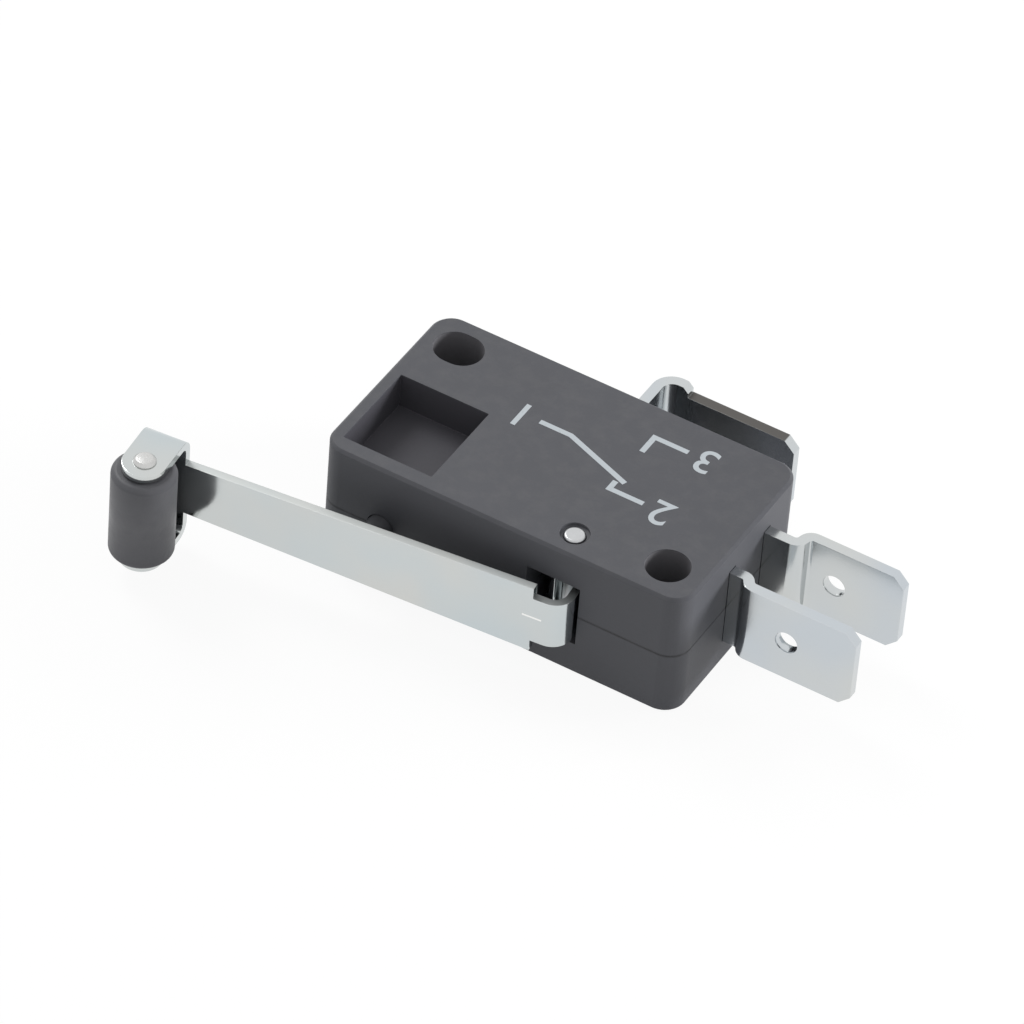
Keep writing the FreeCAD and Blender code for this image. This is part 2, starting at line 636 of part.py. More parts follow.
def lever():
    """Folded steel strip: a knuckle curled round the pin, a long arm and a fork for the roller."""
    body = new_body("lever", (*HINGE, "0"), LEVER_TURN)
    arm_end = "(sizes.hinge_to_roller + sizes.ear_width / 2)"
    bend = "(sizes.bend_radius + sizes.strip_thickness / 2)"
    folded_strip(
        body, "lever_strip", (f"(-{arm_end})", "(-sizes.strip_offset)", SEAM),
        [
            ("straight", f"({arm_end} + {KNUCKLE_RADIUS} - {bend})", 0),
            ("bend", bend, 90),
            ("straight", f"(sizes.strip_offset - {bend})", 90),
            ("bend", KNUCKLE_RADIUS, 90 + value("sizes.knuckle_wrap")),
        ],
        "sizes.strip_thickness", "sizes.strip_width",
    )
    around = (f"(-{KNUCKLE_OUTER} - sizes.cut_margin)", f"({KNUCKLE_OUTER} + sizes.cut_margin)")
    widths = ("sizes.strip_width", "sizes.knuckle_width")
    narrow(body, "knuckle", "(-sizes.knuckle_shoulder)", around[1], *widths)
    narrow(body, "curl", *around, *widths, beyond=f"(-{KNUCKLE_OUTER} - sizes.strip_thickness / 2)")
    taper(
        body, "arm", f"(-{arm_end})", "(-sizes.knuckle_shoulder)", "sizes.strip_width",
        "sizes.strip_end_width",
    )
    plate = rectangle(
        body, "fork_plate", "XZ_Plane", ("(-sizes.hinge_to_roller)", SEAM, "sizes.strip_offset"),
        "sizes.ear_width", "sizes.fork_height",
    )
    pad(body, plate, "sizes.strip_thickness", both_ways=True)
    ear_reach = "(sizes.roller_offset + sizes.strip_thickness / 2)"
    centre = ("(-sizes.hinge_to_roller)", f"(-{ROLLER_DROP})")
    top = f"({SEAM} + sizes.fork_height / 2)"
    bottom = f"({SEAM} - sizes.fork_height / 2)"
    upper_ear = tongue(body, "upper_ear", (*centre, top), "sizes.ear_width", ear_reach)
    pad(body, upper_ear, "sizes.strip_thickness", reverse=True)
    lower_ear = tongue(body, "lower_ear", (*centre, bottom), "sizes.ear_width", ear_reach)
    pad(body, lower_ear, "sizes.strip_thickness")
    back = value("-sizes.strip_offset + sizes.strip_thickness / 2")
    levels = (value(top), value(bottom))
    fillet(
        body, "fork_folds", "sizes.fork_bend",
        lambda middle, run, edge: along(run, 0) and near(middle.y, back)
        and any(near(middle.z, level) for level in levels),
    )
    front = value("-sizes.strip_offset - sizes.strip_thickness / 2")
    inner_levels = [value(f"{SEAM} {sign} (sizes.fork_height / 2 - sizes.strip_thickness)") for sign in "+-"]
    fillet(
        body, "fork_inner_folds", "(sizes.fork_bend - sizes.strip_thickness)",
        lambda middle, run, edge: along(run, 0) and near(middle.y, front)
        and any(near(middle.z, level) for level in inner_levels),
    )
    hole = circle(
        body, "axle_hole", "XY_Plane", (*centre, SEAM), "(sizes.axle_diameter + 2 * sizes.contact_fit)"
    )
    pocket(body, hole, "(sizes.fork_height + sizes.cut_margin)", both_ways=True)
    return body


def roller():
    """Black moulded roller, free on its axle between the fork's ears."""
    body = new_body("roller", (*ROLLER, "0"))
    length = "(sizes.fork_height - 2 * sizes.strip_thickness - 2 * sizes.roller_gap)"
    rim = circle(body, "roller_rim", "XY_Plane", ("0", "0", SEAM), "sizes.roller_diameter")
    pad(body, rim, length, both_ways=True)
    chamfer(body, "roller_ends", "sizes.roller_chamfer", lambda middle, run, edge: near(run.Length, 0))
    bore = circle(
        body, "roller_bore", "XY_Plane", ("0", "0", SEAM), "(sizes.axle_diameter + 2 * sizes.axle_gap)"
    )
    pocket(body, bore, f"({length} + sizes.cut_margin)", both_ways=True)
    return body


def roller_axle():
    """Rivet through the fork's ears, with a low sloped head at each end."""
    body = new_body("roller_axle", (*ROLLER, "0"))
    shank = circle(body, "axle_shank", "XY_Plane", ("0", "0", SEAM), "sizes.axle_diameter")
    pad(body, shank, "sizes.fork_height", both_ways=True)
    for label, sign in (("upper", "+"), ("lower", "-")):
        level = f"({SEAM} {sign} sizes.fork_height / 2)"
        head = circle(body, f"axle_{label}_head", "XY_Plane", ("0", "0", level), "sizes.axle_head")
        pad(body, head, "sizes.axle_head_height", reverse=sign == "-")
    ends = [value(f"{SEAM} {sign} (sizes.fork_height / 2 + sizes.axle_head_height)") for sign in "+-"]
    chamfer(
        body, "axle_head_slopes", "sizes.axle_head_slope",
        lambda middle, run, edge: any(near(middle.z, end) for end in ends),
    )
    return body


def plunger():
    """Moulded plunger: a round stem through the front wall, held in by a collar inside."""
    body = new_body("plunger", (PLUNGER_X, PLUNGER_TIP, SEAM))
    inner_end = f"({ROCKER_FACE} - sizes.rocker_touch - {PLUNGER_TIP})"
    stem = circle(body, "plunger_stem", "XZ_Plane", ("0", "0", "0"), "sizes.plunger_diameter")
    pad(body, stem, inner_end, reverse=True)
    collar_at = f"({INNER_FRONT} + sizes.touch_gap - {PLUNGER_TIP})"
    collar = circle(
        body, "plunger_collar", "XZ_Plane", ("0", "0", f"(-{collar_at})"), "sizes.collar_diameter"
    )
    pad(body, collar, "sizes.collar_thickness", reverse=True)
    fillet(
        body, "plunger_dome", "(sizes.plunger_diameter * sizes.tip_dome_share)",
        lambda middle, run, edge: near(middle.y, 0),
    )
    foot = value(inner_end)
    chamfer(
        body, "plunger_foot", "sizes.plunger_foot_chamfer",
        lambda middle, run, edge: near(middle.y, foot),
    )
    return body


def rocker():
    """Stamped rocker: its eye turns on a pin, the plunger pushes its tip, a lug pulls the spring."""
    tip = f"({PLUNGER_X} - sizes.rocker_tail)"
    body = new_body("rocker")
    folded_strip(
        body, "rocker_strip", (tip, ROCKER_ARM_Y, SEAM),
        [
            ("straight", f"({ROCKER_PIN[0]} - {tip})", 0),
            ("bend", ROCKER_RADIUS, value("sizes.rocker_wrap")),
        ],
        "sizes.rocker_thickness", "sizes.rocker_width",
    )
    lug_x = f"({ROCKER_PIN[0]} - sizes.lug_from_pin)"
    lug = rectangle(
        body, "rocker_lug", "YZ_Plane", (f"({ROCKER_ARM_Y} + sizes.lug_reach / 2)", SEAM, lug_x),
        "sizes.lug_reach", "sizes.lug_width",
    )
    pad(body, lug, "sizes.rocker_thickness", both_ways=True)
    eye = circle(
        body, "rocker_lug_hole", "YZ_Plane",
        (f"({LUG_BAR_Y} - sizes.hook_bar / 2 - sizes.hook_hole / 2)", SEAM, lug_x), "sizes.hook_hole",
    )
    pocket(body, eye, "(2 * sizes.rocker_thickness)", both_ways=True)
    return body


def rocker_pin():
    """Steel pin of the rocker, set in blind sockets in the two halves of the case."""
    body = new_body("rocker_pin", (*ROCKER_PIN, SEAM))
    section = circle(body, "rocker_pin_section", "XY_Plane", ("0", "0", "0"), "sizes.rocker_pin_diameter")
    pad(body, section, f"(2 * ({CAVITY_HALF} + sizes.floor_wall / 2 - sizes.slot_gap))", both_ways=True)
    return body


def contact_blade():
    """Copper-alloy blade that tilts on its seat; the spring lies in its window."""
    body = new_body("contact_blade", (*BLADE_SEAT, "0"), BLADE_TURN)
    length = f"(sizes.blade_tail + {BLADE_TO_CONTACT} + sizes.blade_nose)"
    blank = rectangle(
        body, "blade_blank", "XZ_Plane", (f"({length} / 2 - sizes.blade_tail)", SEAM, "0"),
        length, "sizes.blade_width",
    )
    pad(body, blank, "sizes.blade_thickness", both_ways=True)
    nose = value(f"{BLADE_TO_CONTACT} + sizes.blade_nose")
    fillet(
        body, "blade_nose_corners", "sizes.nose_round",
        lambda middle, run, edge: along(run, 1) and near(middle.x, nose),
    )
    window = rectangle(
        body, "blade_window", "XZ_Plane",
        (f"((sizes.window_start + {WINDOW_END}) / 2)", SEAM, "0"),
        f"({WINDOW_END} - sizes.window_start)", "sizes.window_width",
    )
    pocket(body, window, "(2 * sizes.blade_thickness)", both_ways=True)
    hook = circle(
        body, "blade_hook_hole", "XZ_Plane",
        (f"({BLADE_BAR} + sizes.hook_bar / 2 + sizes.hook_hole / 2)", SEAM, "0"), "sizes.hook_hole",
    )
    pocket(body, hook, "(2 * sizes.blade_thickness)", both_ways=True)
    hole = circle(
        body, "blade_contact_hole", "XZ_Plane", (BLADE_TO_CONTACT, SEAM, "0"),
        "(sizes.contact_shank + 2 * sizes.contact_fit)",
    )
    pocket(body, hole, "(2 * sizes.blade_thickness)", both_ways=True)
    return body


def moving_contact():
    """Silver rivet with a sloped button on each side of the blade."""
    body = new_body("moving_contact", (*BLADE_SEAT, "0"), BLADE_TURN)
    centre = (BLADE_TO_CONTACT, SEAM)
    shank = circle(body, "button_shank", "XZ_Plane", (*centre, "0"), "sizes.contact_shank")
    pad(body, shank, f"(2 * {BUTTON_REACH})", both_ways=True)
    half = "(sizes.blade_thickness / 2)"
    front = circle(body, "front_button", "XZ_Plane", (*centre, half), "sizes.contact_diameter")
    pad(body, front, "sizes.contact_button")
    back = circle(body, "back_button", "XZ_Plane", (*centre, f"(-{half})"), "sizes.contact_diameter")
    pad(body, back, "sizes.contact_button", reverse=True)
    reach = value(BUTTON_REACH)
    radius = value("sizes.contact_diameter / 2")
    chamfer(
        body, "button_slopes", "sizes.contact_slope",
        lambda middle, run, edge: near(abs(middle.y), reach) and near(edge.Curve.Radius, radius),
    )
    return body


def fixed_contact(name, height, face, side):
    """Silver rivet set in a terminal: its button on one side, its upset tail on the other."""
    body = new_body(name, (CONTACT_X, height, SEAM))
    half = "(sizes.terminal_thickness / 2)"
    reach = f"(({face} - {height}) * {side})"
    shank = circle(body, f"{name}_shank", "XZ_Plane", ("0", "0", "0"), "sizes.contact_shank")
    pad(body, shank, f"(2 * {half})", both_ways=True)
    button = circle(
        body, f"{name}_button", "XZ_Plane", ("0", "0", f"(-{side} * {half})"), "sizes.contact_diameter"
    )
    pad(body, button, f"({reach} - {half})", reverse=side == 1)
    tail = circle(
        body, f"{name}_tail", "XZ_Plane", ("0", "0", f"({side} * {half})"), "sizes.upset_diameter"
    )
    pad(body, tail, "sizes.upset_height", reverse=side == -1)
    tip = value(f"{side} * {reach}")
    chamfer(body, f"{name}_edge", "sizes.fixed_slope", lambda middle, run, edge: near(middle.y, tip))
    return body


def finish_tab(body, name, end, plane_height):
    """Trims a terminal's tab, with chamfered corners and the detent hole."""
    lead = value(end)
    tab_half = value("sizes.tab_width / 2")
    middle_level = value(SEAM)
    chamfer(
        body, f"{name}_tab_corners", "sizes.tab_chamfer",
        lambda middle, run, edge: along(run, 1) and near(middle.x, lead)
        and near(abs(middle.z - middle_level), tab_half),
    )
    hole = circle(
        body, f"{name}_tab_hole", "XZ_Plane",
        (f"({end} - sizes.tab_hole_from_end)", SEAM, f"(-{plane_height})"), "sizes.tab_hole",
    )
    pocket(body, hole, "(2 * sizes.terminal_thickness)", both_ways=True)


def end_terminal(name, height, inner_height, jog, jog_end, side):
    """Fixed terminal: a tab that is set over outside the case, to line up with its contact inside.

    The tab passes the wall at its own width. A wider shoulder behind the wall holds it in, and the
    narrower tongue beyond carries the contact.
    """
    body = new_body(name)
    lean = f"acos(1 - {jog} / (2 * sizes.jog_radius))"
    turn = side * value(lean)
    jog_length = f"(2 * sizes.jog_radius * sin({lean}))"
    first = f"({TAB_END} - {CASE_RIGHT} - {jog_end})"
    last = f"({TAB_END} - {CONTACT_X} + sizes.inner_reach - {first} - {jog_length})"
    moves = [
        ("straight", first, 180),
        ("bend", "sizes.jog_radius", 180 + turn),
        ("bend", "sizes.jog_radius", 180),
        ("straight", last, 180),
    ]
    folded_strip(
        body, f"{name}_strip", (TAB_END, height, SEAM), moves, "sizes.terminal_thickness", SHOULDER_WIDTH
    )
    inner_wall = f"({CASE_RIGHT} - sizes.side_wall)"
    beyond = f"({TAB_END} + sizes.cut_margin)"
    narrow(body, f"{name}_tab", inner_wall, beyond, SHOULDER_WIDTH, "sizes.tab_width")
    tongue_end = f"({CONTACT_X} - sizes.inner_reach - sizes.cut_margin)"
    tongue_start = f"({inner_wall} - sizes.shoulder_length)"
    narrow(body, f"{name}_tongue", tongue_end, tongue_start, SHOULDER_WIDTH, "sizes.inner_width")
    finish_tab(body, name, TAB_END, height)
    hole = circle(
        body, f"{name}_contact_hole", "XZ_Plane", (CONTACT_X, SEAM, f"(-{inner_height})"),
        "(sizes.contact_shank + 2 * sizes.contact_fit)",
    )
    pocket(body, hole, "(2 * sizes.terminal_thickness)", both_ways=True)
    return body


def common_terminal():
    """Common terminal: a tab folded along the back wall, and inside it the blade's seat."""
    body = new_body("common_terminal")
    bend = "(sizes.common_bend + sizes.terminal_thickness / 2)"
    tab_end = f"({COMMON_X} + sizes.common_tab_reach)"
    inner_bend = "(sizes.inner_bend + sizes.terminal_thickness / 2)"
    inner_y = f"({INNER_BACK} - sizes.inner_room - sizes.terminal_thickness / 2)"
    seat_top = f"({BLADE_SEAT[1]} + sizes.blade_thickness / 2 + sizes.seat_gap)"
    folded_strip(
        body, "common_strip", (tab_end, COMMON_TAB_Y, SEAM),
        [
            ("straight", f"({tab_end} - {COMMON_X} - {bend})", 180),
            ("bend", bend, 270),
            ("straight", f"({COMMON_TAB_Y} - {inner_y} - {bend} - {inner_bend})", 270),
            ("bend", inner_bend, 180),
            ("straight", f"({COMMON_X} - {BLADE_SEAT[0]} - 2 * {inner_bend})", 180),
            ("bend", inner_bend, 270),
            ("straight", f"({inner_y} - {inner_bend} - {seat_top})", 270),
        ],
        "sizes.terminal_thickness", SHOULDER_WIDTH,
    )
    shoulder_end = f"({COMMON_X} + {bend} + sizes.common_shoulder)"
    beyond = f"({tab_end} + sizes.cut_margin)"
    narrow(body, "common_tab", shoulder_end, beyond, SHOULDER_WIDTH, "sizes.tab_width")
    inner_start = f"({COMMON_X} - sizes.terminal_thickness / 2 - sizes.common_bend / 2)"
    inner_end = f"({BLADE_SEAT[0]} - sizes.terminal_thickness - sizes.cut_margin)"
    narrow(body, "common_inner", inner_end, inner_start, SHOULDER_WIDTH, "sizes.blade_width")
    shoulder_half = value(f"{SHOULDER_WIDTH} / 2")
    shoulder_corner = value(shoulder_end)
    middle_level = value(SEAM)
    chamfer(
        body, "common_shoulder_corners", "sizes.shoulder_chamfer",
        lambda middle, run, edge: along(run, 1) and near(middle.x, shoulder_corner)
        and near(abs(middle.z - middle_level), shoulder_half),
    )
    finish_tab(body, "common", tab_end, COMMON_TAB_Y)
    return body


def wire_section(centre, first, second):
    """Six-sided outline of the spring wire, round a centre, in the plane of two directions."""
    size = value("sizes.spring_wire / 2")
    turns = [math.radians(60 * corner) for corner in range(6)]
    corners = [centre + first * (size * math.cos(turn)) + second * (size * math.sin(turn)) for turn in turns]
    return Part.makePolygon(corners + corners[:1])


def tension_spring():
    """Wound steel spring; a round hook at each end goes round the bar beside a hole."""
    lug_x = f"({ROCKER_PIN[0]} - sizes.lug_from_pin)"
    start = Vector(value(lug_x), value(LUG_BAR_Y), value(SEAM))
    end = Vector(
        value(f"{BLADE_SEAT[0]} + {BLADE_BAR} * cos({BLADE_TURN})"),
        value(f"{BLADE_SEAT[1]} + {BLADE_BAR} * sin({BLADE_TURN})"),
        value(SEAM),
    )
    hook = value("sizes.spring_hook")
    pitch = value("sizes.spring_pitch")
    radius = value("sizes.spring_radius")
    run = end - start
    turns = int((run.Length - 4 * hook) / pitch)
    lead = (run.Length - turns * pitch) / 2
    sideways, forward = Vector(1, 0, 0), Vector(0, 0, 1)
    helix = Part.makeHelix(pitch, turns * pitch, radius)
    helix.translate(forward * lead)
    slope = Vector(0, 2 * math.pi * radius, pitch).normalize()
    section = wire_section(sideways * radius + forward * lead, sideways, sideways.cross(slope))
    coil = Part.Wire(helix.Edges).makePipeShell([section], True, True)
    pieces = []
    for place, way in ((0.0, 1), (run.Length, -1)):
        rim = forward * (place + way * hook)
        ring = Part.Face(wire_section(rim, sideways, forward))
        pieces.append(ring.revolve(forward * place, sideways, 360))
        coil_end = sideways * radius + forward * (lead if way > 0 else run.Length - lead)
        neck = coil_end - rim
        along_neck = Vector(neck).normalize()
        across = Vector(0, 1, 0)
        outline = Part.Face(wire_section(rim, across, across.cross(along_neck)))
        pieces.append(outline.extrude(neck + along_neck * value("sizes.spring_wire / 2")))
    body = doc.addObject("Part::Feature", "tension_spring")
    body.Label = "tension_spring"
    body.Shape = coil.multiFuse(pieces)
    body.Placement = FreeCAD.Placement(start, FreeCAD.Rotation(forward, run))
    return body


def check_document():
    doc.recompute()
    for item in doc.Objects:
        if "Invalid" in item.State or "Error" in item.State:
            raise RuntimeError(f"{item.Label} did not compute: {item.State}")


def write_parts(parts):
    os.makedirs("parts", exist_ok=True)
    for part in parts:
        shape = part.Shape
        if shape.isNull() or not shape.isValid() or len(shape.Solids) != 1:
            raise RuntimeError(f"{part.Label} is not one valid solid")
    for part in parts:
        part.Shape.exportStep(f"parts/{part.Label}.step")
        print(part.Label, round(part.Shape.Volume, 2), "cubic mm")


PARTS = [
    shell("base_shell", upper=False),
    shell("cover_shell", upper=True),
    hinge_pin(),
    lever(),
    roller(),
    roller_axle(),
    plunger(),
    rocker(),
    rocker_pin(),
    contact_blade(),
    moving_contact(),
    tension_spring(),
    common_terminal(),
    end_terminal(
        "normally_closed_terminal", "sizes.closed_height", CLOSED_INNER_Y, "sizes.closed_jog",
        "sizes.closed_jog_end", -1,
    ),
    end_terminal(
        "normally_open_terminal", "sizes.open_height", OPEN_INNER_Y, "sizes.open_jog",
        "sizes.open_jog_end", 1,
    ),
    fixed_contact("normally_closed_contact", CLOSED_INNER_Y, CLOSED_FACE, 1),
    fixed_contact("normally_open_contact", OPEN_INNER_Y, OPEN_FACE, -1),
]
check_document()
write_parts(PARTS)
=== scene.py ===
import math

import bmesh
import bpy
from mathutils import Matrix, Vector


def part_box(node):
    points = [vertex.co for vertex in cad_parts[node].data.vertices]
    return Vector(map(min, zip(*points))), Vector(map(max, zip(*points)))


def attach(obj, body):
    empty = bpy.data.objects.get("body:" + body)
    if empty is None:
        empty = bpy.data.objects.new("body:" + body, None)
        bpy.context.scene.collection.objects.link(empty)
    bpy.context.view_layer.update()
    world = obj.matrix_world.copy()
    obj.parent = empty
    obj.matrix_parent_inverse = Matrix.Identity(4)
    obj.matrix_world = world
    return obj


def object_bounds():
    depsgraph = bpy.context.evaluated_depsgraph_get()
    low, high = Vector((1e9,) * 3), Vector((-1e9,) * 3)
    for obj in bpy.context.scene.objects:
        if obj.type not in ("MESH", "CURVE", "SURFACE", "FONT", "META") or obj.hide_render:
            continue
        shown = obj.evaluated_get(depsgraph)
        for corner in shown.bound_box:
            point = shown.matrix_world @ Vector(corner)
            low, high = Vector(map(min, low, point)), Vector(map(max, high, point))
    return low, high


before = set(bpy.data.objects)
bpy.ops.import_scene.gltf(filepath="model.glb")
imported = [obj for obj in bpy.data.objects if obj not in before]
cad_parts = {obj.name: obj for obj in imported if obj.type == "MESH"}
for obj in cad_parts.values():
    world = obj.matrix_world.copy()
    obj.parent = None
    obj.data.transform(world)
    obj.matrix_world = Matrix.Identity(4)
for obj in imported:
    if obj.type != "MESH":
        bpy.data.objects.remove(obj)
cad_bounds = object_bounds()
MM = 0.001


# Case halves
# Two shells of dark grey glass-filled nylon, injection moulded and welded at the seam half way up.
# The tool's spark-eroded skin gives a fine matt grain; corners and rims are a little polished by handling,
# and are painted lighter as a highlight.
CASE_GREY = (0.064, 0.0655, 0.074, 1)
# Lighter rims: partly real wear, partly a painted highlight.
CASE_WEAR_AND_HIGHLIGHT = (0.12, 0.123, 0.133, 1)
CASE_DUST = (0.24, 0.235, 0.225, 1)
CASE_GRIME = (0.020, 0.020, 0.022, 1)
# Painted light: a tone a little lighter than the case for the pocket, and a much lighter one for the bores'
# walls.
PAINTED_POCKET_LIGHT = (0.068, 0.066, 0.077, 1)
PAINTED_BORE_LIGHT = (0.15, 0.147, 0.158, 1)
CASE_EDGE = 0.09 * MM
CLOUD_TONE = 1.3
WEAR_AND_HIGHLIGHT_SHARE = 0.3
DUST_SHARE = 0.10
GRIME_SHARE = 0.85
PAINTED_POCKET_SHARE = 0.85
PAINTED_BORE_SHARE = 0.9
SEAM_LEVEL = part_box("cover_shell")[0].z
COVER_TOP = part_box("cover_shell")[1].z
POCKET_CENTRE = (-20.625, 2.2)
POCKET_HALF = (3.5, 3.77)
ROUND_HOLE = (0.0, 0.0)
OVAL_HOLE = (-22.2, 10.3)
HOLE_HALF = (2.1, 1.7)
POCKET_RIM = 0.15 * MM
BORE_RIM = 0.05 * MM
WELD_REACH = 0.001 * MM
FLAT_ANGLE = math.radians(0.5)
SMOOTH_ANGLE = math.radians(32)
SHARP_ANGLE = math.radians(35)


def node(tree, kind, inputs=None, **settings):
    """Adds a shader node; each input is given as a value or as the socket that feeds it."""
    made = tree.nodes.new(kind)
    for name, setting in settings.items():
        setattr(made, name, setting)
    for name, given in (inputs or {}).items():
        if isinstance(given, bpy.types.NodeSocket):
            tree.links.new(given, made.inputs[name])
        else:
            made.inputs[name].default_value = given
    return made


def math_node(tree, operation, first, second=0.0, third=0.0, clamp=False):
    """One step of arithmetic between values or sockets."""
    return node(
        tree, "ShaderNodeMath", {0: first, 1: second, 2: third}, operation=operation, use_clamp=clamp
    ).outputs[0]


def new_group(name, inputs, outputs):
    """Starts a shader node group with named number sockets, and gives its inputs and outputs."""
    group = bpy.data.node_groups.new(name, "ShaderNodeTree")
    for label, usual in inputs.items():
        socket = group.interface.new_socket(label, in_out="INPUT", socket_type="NodeSocketFloat")
        socket.default_value = usual
    for label in outputs:
        group.interface.new_socket(label, in_out="OUTPUT", socket_type="NodeSocketFloat")
    return group, group.nodes.new("NodeGroupInput").outputs, group.nodes.new("NodeGroupOutput").inputs


def make_moulded_grain():
    """Spark-eroded mould skin: fine pits, and slow cloudy changes where the melt flowed."""
    group, given, put = new_group("moulded_grain", {"Grain": 5200, "Cloud": 240}, ("Pits", "Clouds"))
    place = node(group, "ShaderNodeTexCoord").outputs["Object"]
    fine = node(group, "ShaderNodeTexNoise", {"Vector": place, "Scale": given["Grain"], "Detail": 4})
    cells = node(
        group, "ShaderNodeTexVoronoi", {"Vector": place, "Scale": given["Grain"]}, feature="SMOOTH_F1"
    )
    pits = math_node(group, "MULTIPLY_ADD", cells.outputs["Distance"], 0.5, fine.outputs[0])
    cloud = node(
        group, "ShaderNodeTexNoise", {"Vector": place, "Scale": given["Cloud"], "Detail": 6, "Roughness": 0.6}
    )
    group.links.new(pits, put["Pits"])
    group.links.new(cloud.outputs[0], put["Clouds"])
    return group


def make_edge_wear_and_highlight():
    """Mask of convex edges, broken up by noise, where handling rubs a surface; on moulded plastic it also
    paints a highlight.
    """
    group, given, put = new_group("edge_wear_and_highlight", {"Radius": 0.15 * MM, "Breakup": 1800}, ("Mask",))
    place = node(group, "ShaderNodeTexCoord").outputs["Object"]
    flat = node(group, "ShaderNodeNewGeometry").outputs["Normal"]
    rounded = node(group, "ShaderNodeBevel", {"Radius": given["Radius"]}, samples=6).outputs[0]
    likeness = node(group, "ShaderNodeVectorMath", {0: flat, 1: rounded}, operation="DOT_PRODUCT")
    turned = math_node(group, "SUBTRACT", 1.0, likeness.outputs["Value"])
    strong = math_node(group, "MULTIPLY", turned, 9.0, clamp=True)
    noise = node(group, "ShaderNodeTexNoise", {"Vector": place, "Scale": given["Breakup"], "Detail": 3})
    broken = math_node(group, "MULTIPLY_ADD", noise.outputs[0], 2.4, -0.7, clamp=True)
    group.links.new(math_node(group, "MULTIPLY", strong, broken), put["Mask"])
    return group


def make_settled_dust():
    """Mask of faces that look up, thin and patchy, for dust and finger film."""
    group, given, put = new_group("settled_dust", {"Patch": 900}, ("Mask",))
    place = node(group, "ShaderNodeTexCoord").outputs["Object"]
    normal = node(group, "ShaderNodeNewGeometry").outputs["Normal"]
    up = node(group, "ShaderNodeSeparateXYZ", {0: normal}).outputs["Z"]
    noise = node(
        group, "ShaderNodeTexNoise", {"Vector": place, "Scale": given["Patch"], "Detail": 8, "Roughness": 0.7}
    )
    patchy = math_node(group, "MULTIPLY_ADD", noise.outputs[0], 3.2, -1.45, clamp=True)
    facing = math_node(group, "MULTIPLY_ADD", up, 1.4, -0.4, clamp=True)
    group.links.new(math_node(group, "MULTIPLY", facing, patchy), put["Mask"])
    return group


def make_level_band():
    """Mask of a broken band at one level: dirt in the joint of two mouldings, or a cam's track."""
    group, given, put = new_group("level_band", {"Level": 0, "Width": 0.16 * MM}, ("Mask",))
    place = node(group, "ShaderNodeTexCoord").outputs["Object"]
    level = node(group, "ShaderNodeSeparateXYZ", {0: place}).outputs["Z"]
    noise = node(group, "ShaderNodeTexNoise", {"Vector": place, "Scale": 1400, "Detail": 4})
    away = math_node(group, "ABSOLUTE", math_node(group, "SUBTRACT", level, given["Level"]))
    near = math_node(group, "SUBTRACT", 1.0, math_node(group, "DIVIDE", away, given["Width"]), clamp=True)
    broken = math_node(group, "MULTIPLY_ADD", noise.outputs[0], 1.6, 0.1, clamp=True)
    group.links.new(math_node(group, "MULTIPLY", near, broken), put["Mask"])
    return group


def make_inside_box():
    """Mask of what lies inside an upright box: its walls and floor, or its steep walls alone."""
    group, given, put = new_group(
        "inside_box", {"X": 0, "Y": 0, "Half X": 1, "Half Y": 1, "Top": 1, "Bottom": -1}, ("Mask", "Walls")
    )
    place = node(group, "ShaderNodeSeparateXYZ", {0: node(group, "ShaderNodeTexCoord").outputs["Object"]})
    normal = node(group, "ShaderNodeNewGeometry").outputs["Normal"]
    below = math_node(group, "LESS_THAN", place.outputs["Z"], given["Top"])
    above = math_node(group, "GREATER_THAN", place.outputs["Z"], given["Bottom"])
    mask = math_node(group, "MULTIPLY", below, above)
    for axis in ("X", "Y"):
        away = math_node(group, "ABSOLUTE", math_node(group, "SUBTRACT", place.outputs[axis], given[axis]))
        within = math_node(group, "LESS_THAN", away, given[f"Half {axis}"])
        mask = math_node(group, "MULTIPLY", mask, within)
    upright = math_node(group, "ABSOLUTE", node(group, "ShaderNodeSeparateXYZ", {0: normal}).outputs["Z"])
    steep = math_node(group, "LESS_THAN", upright, 0.6)
    group.links.new(mask, put["Mask"])
    group.links.new(math_node(group, "MULTIPLY", mask, steep), put["Walls"])
    return group


def placed(material, group, **values):
    """Puts a node group in a material with its own values and gives its outputs."""
    made = node(material.node_tree, "ShaderNodeGroup", node_tree=group)
    for name, given in values.items():
        made.inputs[name.replace("_", " ")].default_value = given
    return made.outputs


def new_material(name, **plain):
    """An empty Principled material; plain gives the sockets that are even all over the surface."""
    material = bpy.data.materials.new(name)
    material.use_nodes = True
    surface = material.node_tree.nodes["Principled BSDF"]
    for label, given in plain.items():
        surface.inputs[label.replace("_", " ")].default_value = given
    return material, material.node_tree, surface


def toned(colour, factor):
    """The same colour, darker or lighter."""
    return tuple(factor * part for part in colour[:3]) + (1,)


def mixed(tree, share, first, second):
    """Blends two colours by a mask."""
    made = node(tree, "ShaderNodeMix", {"Factor": share}, data_type="RGBA", blend_type="MIX")
    for socket, given in ((made.inputs[6], first), (made.inputs[7], second)):
        if isinstance(given, bpy.types.NodeSocket):
            tree.links.new(given, socket)
        else:
            socket.default_value = given
    return made.outputs[2]


def bumped(tree, surface, height, depth):
    """Feeds a height, in a depth given in metres, to the surface's normal."""
    bump = node(tree, "ShaderNodeBump", {"Height": height, "Distance": depth, "Strength": 1.0})
    tree.links.new(bump.outputs[0], surface.inputs["Normal"])


moulded_grain = make_moulded_grain()
edge_wear_and_highlight = make_edge_wear_and_highlight()
settled_dust = make_settled_dust()
level_band = make_level_band()
inside_box = make_inside_box()


def box_mask(material, centre, half, top, bottom=-1.0):
    """The box mask round a place, with its centre and half sizes in millimetres."""
    return placed(
        material, inside_box, X=centre[0] * MM, Y=centre[1] * MM, Half_X=half[0] * MM, Half_Y=half[1] * MM,
        Top=top, Bottom=bottom,
    )


